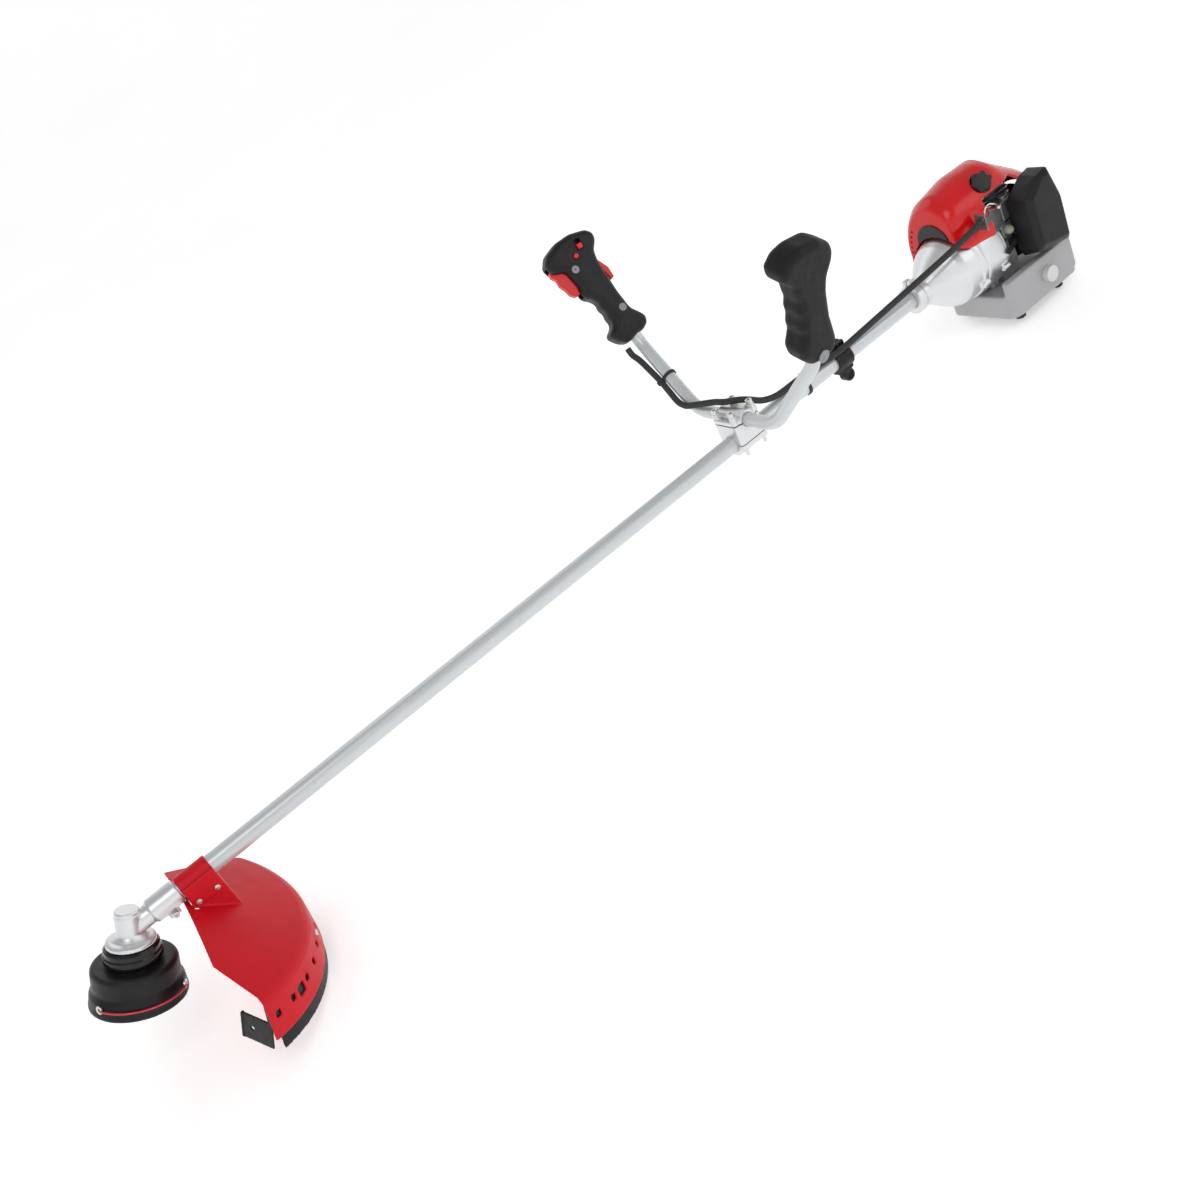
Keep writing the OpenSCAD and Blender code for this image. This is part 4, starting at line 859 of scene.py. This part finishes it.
class TRIMMER_OT_engine_block(bpy.types.Operator):
    """Finishes the crankcase, the cylinder, the plug and the muffler"""

    bl_idname = "trimmer.engine_block"
    bl_label = "Engine block"

    def execute(self, context):
        f = finishes()
        voxel = context.scene.trimmer_sizes.casting_voxel
        recast("block_casting", ["crankcase"], voxel * 1.2, 4, f["cast"], "frame",
               "cast_aluminium")
        paint_nodes(f["dark_cast"], "cylinder_block")
        paint_nodes(f["ceramic"], "spark_plug")
        recast("plug_boot", ["plug_cap"], voxel * 0.6, 3, f["rubber"], "frame",
               "black_rubber")
        recast("muffler_can", ["muffler"], voxel, 2, f["sooty"], "frame", "steel")
        return {"FINISHED"}


COVER_SECTIONS = [
    (84, [(56, 0), (64, 28), (60, 57), (46, 85), (26, 102), (4, 109), (-19, 103),
          (-37, 86), (-41, 60), (-38, 34)]),
    (100, [(65, 0), (74, 28), (69, 62), (54, 92), (31, 112), (5, 120), (-22, 113),
           (-42, 93), (-47, 62), (-44, 28)]),
    (152, [(70, 0), (78, 30), (74, 66), (58, 99), (34, 120), (12, 127), (-14, 122),
           (-38, 104), (-50, 78), (-48, 20)]),
    (208, [(70, 0), (77, 30), (72, 64), (57, 96), (34, 118), (12, 126), (-14, 121),
           (-38, 102), (-48, 78), (-46, 20)]),
    (280, [(42, 12), (42, 12), (52, 28), (49, 50), (34, 66), (12, 72), (-14, 68),
           (-30, 56), (-34, 30), (-34, 30)])]
COVER_MIDDLE = Vector((12.0, 50.0))
COVER_RUN = (94, 100, 110, 122, 136, 152, 170, 190, 208, 222, 236, 250, 262, 271)
FRONT_EDGE = 5.0
REAR_EDGE = 8.0


def cover_ring(x, inset):
    """The cover's outline at one place along the crank axis."""
    for (x0, p0), (x1, p1) in zip(COVER_SECTIONS, COVER_SECTIONS[1:]):
        if x0 <= x <= x1 + 1e-6:
            t = (x - x0) / (x1 - x0)
            break
    points = [Vector(a) * (1 - t) + Vector(b) * t for a, b in zip(p0, p1)]
    ring = spline_points([(p.x, p.y) for p in points], 8, closed=True)
    return [COVER_MIDDLE + (p - COVER_MIDDLE) * (1 - inset / (p - COVER_MIDDLE).length)
            for p in ring]


def cover_body(name, inset):
    """The cover's closed form, drawn in by an inset, with rounded ends."""
    front, rear = COVER_SECTIONS[0][0] + inset, COVER_SECTIONS[-1][0] - inset
    places = []
    for k in range(5):
        a = math.pi / 2 * k / 4
        places.append((front + FRONT_EDGE * (1 - math.cos(a)),
                       FRONT_EDGE * (1 - math.sin(a)) + inset))
    places += [(x, inset) for x in COVER_RUN]
    for k in range(1, 6):
        a = math.pi / 2 * (1 - k / 5)
        places.append((rear - REAR_EDGE * (1 - math.cos(a)),
                       REAR_EDGE * (1 - math.sin(a)) + inset))
    return lofted(name, [[on_engine(x, p.x, p.y) for p in cover_ring(x, edge)]
                         for x, edge in places])


def bore(start, end, radius, y=0, z=0, sides=96):
    """A cutter along the crank axis."""
    return rod_cutter(on_engine(start, y, z), on_engine(end, y, z), radius * MM, sides)


class TRIMMER_OT_engine_cover(bpy.types.Operator):
    """Makes the red engine cover and its blank badge"""

    bl_idname = "trimmer.engine_cover"
    bl_label = "Engine cover"

    def execute(self, context):
        f = finishes()
        wall = context.scene.trimmer_sizes.cover_wall / MM
        shell = cover_body("cover_shell", 0.0)
        cutters = [
            cover_body("cutter", wall),
            box_cutter((70, -95, -40), (300, 95, 3)),
            bore(70, 144, 62.4),
            bore(143, 159, 61.8),
            bore(158, 300, 54.4),
            box_cutter((152, -90, -20), (300, -34, 88))]
        for k in range(6):
            y, z = 57 - 0.5 * k * k, 26 + 9 * k
            cutters.append(bore(80, 97, 2.1, y, z, 20))
        for y in (-14, -2):
            cutters.append(rod_cutter(on_engine(264, y, 60), on_engine(264, y, 120), 0.0026,
                                      24))
        plug = on_engine(170, -40, 108)
        lean = (Matrix.Rotation(math.radians(-25), 3, "Z")
                @ Matrix.Rotation(math.radians(60), 3, "X")) @ Vector((0, 0, 1))
        cutters.append(rod_cutter(plug - lean * 0.026, plug + lean * 0.03, 0.0175, 48))
        cut_by(shell, *cutters)
        smooth(shell, 40)
        settled(shell, f["red"], "frame", "red_gloss", "engine_cover")
        recast("blank_badge", ["label_plate"], 0.0005, 2, f["gloss_black"], "frame",
               "black_plastic")
        return {"FINISHED"}


class TRIMMER_OT_carburettor(bpy.types.Operator):
    """Finishes the carburettor and the small levers by it"""

    bl_idname = "trimmer.carburettor"
    bl_label = "Carburettor"

    def execute(self, context):
        f = finishes()
        voxel = context.scene.trimmer_sizes.casting_voxel
        recast("carburettor_casting", ["carburettor"], voxel * 0.7, 3, f["dark_cast"],
               "frame", "cast_aluminium")
        paint_nodes(f["zinc"], "carb_lever")
        paint_nodes(f["bulb"], "primer_bulb")
        recast("choke_flag", ["choke_lever"], CONTROL_VOXEL, 2, f["black"], "choke",
               "black_plastic")
        return {"FINISHED"}


class TRIMMER_OT_air_filter(bpy.types.Operator):
    """Softens the air filter's cover and finishes its base"""

    bl_idname = "trimmer.air_filter"
    bl_label = "Air filter"

    def execute(self, context):
        f = finishes()
        voxel = context.scene.trimmer_sizes.moulding_voxel
        recast("filter_shell", ["filter_cover"], voxel, 9, f["black"], "frame",
               "black_plastic")
        paint_nodes(f["black"], "filter_base")
        return {"FINISHED"}


class TRIMMER_OT_fuel_tank(bpy.types.Operator):
    """Softens the milky fuel tank and its cap"""

    bl_idname = "trimmer.fuel_tank"
    bl_label = "Fuel tank"

    def execute(self, context):
        f = finishes()
        voxel = context.scene.trimmer_sizes.moulding_voxel
        recast("tank_shell", ["fuel_tank"], voxel * 1.25, 14, f["tank"], "frame",
               "milky_plastic")
        recast("tank_cap", ["fuel_cap"], voxel * 0.5, 2, f["cap"], "cap", "milky_plastic")
        recast("stand_foot", ["engine_stand"], voxel, 5, f["black"], "frame",
               "black_plastic")
        return {"FINISHED"}


class TRIMMER_OT_starter(bpy.types.Operator):
    """Finishes the starter's case, its handle and the rope between them"""

    bl_idname = "trimmer.starter"
    bl_label = "Starter"

    def execute(self, context):
        f = finishes()
        sizes = context.scene.trimmer_sizes
        recast("starter_shell", ["starter_case"], sizes.casting_voxel, 3, f["black"],
               "frame", "black_plastic")
        recast("pull_handle", ["starter_grip"], sizes.casting_voxel * 0.6, 4, f["grip"],
               "starter", "black_rubber")
        low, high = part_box("starter_grip")
        axis = Vector(((low.x + high.x) / 2, 0, (low.z + high.z) / 2))
        start, end = low.y - 0.004, high.y - 0.006
        rings = sizes.rope_rings
        points = [Vector((axis.x, start + (end - start) * k / rings, axis.z))
                  for k in range(rings + 1)]
        rope = hose("starter_rope", points, 0.0017, 12)
        dressed(rope, f["rubber"])
        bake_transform(rope)
        return {"FINISHED"}


class TRIMMER_PT_panel(bpy.types.Panel):
    """Lists the sizes, the colours and the pieces"""

    bl_label = "String trimmer"
    bl_idname = "TRIMMER_PT_panel"
    bl_space_type = "VIEW_3D"
    bl_region_type = "UI"
    bl_category = "Trimmer"

    def draw(self, context):
        for group in (context.scene.trimmer_sizes, context.scene.trimmer_paints):
            column = self.layout.column(align=True)
            for key in group.__annotations__:
                column.prop(group, key)
        column = self.layout.column(align=True)
        for operator in OPERATORS:
            column.operator(operator.bl_idname)


OPERATORS = (TRIMMER_OT_stage, TRIMMER_OT_throttle_cable, TRIMMER_OT_cutting_head,
             TRIMMER_OT_gear_case, TRIMMER_OT_guard, TRIMMER_OT_shaft,
             TRIMMER_OT_handlebar, TRIMMER_OT_plain_grip, TRIMMER_OT_throttle_grip,
             TRIMMER_OT_clutch_end, TRIMMER_OT_engine_block, TRIMMER_OT_engine_cover,
             TRIMMER_OT_carburettor, TRIMMER_OT_air_filter, TRIMMER_OT_fuel_tank,
             TRIMMER_OT_starter)
CLASSES = (TrimmerSizes, TrimmerPaints, *OPERATORS, TRIMMER_PT_panel)


def register():
    for cls in CLASSES:
        bpy.utils.register_class(cls)
    bpy.types.Scene.trimmer_sizes = PointerProperty(type=TrimmerSizes)
    bpy.types.Scene.trimmer_paints = PointerProperty(type=TrimmerPaints)


def unregister():
    del bpy.types.Scene.trimmer_paints
    del bpy.types.Scene.trimmer_sizes
    for cls in reversed(CLASSES):
        bpy.utils.unregister_class(cls)


def main():
    register()
    for operator in OPERATORS:
        group, name = operator.bl_idname.split(".")
        getattr(getattr(bpy.ops, group), name)()


if __name__ == "__main__":
    main()
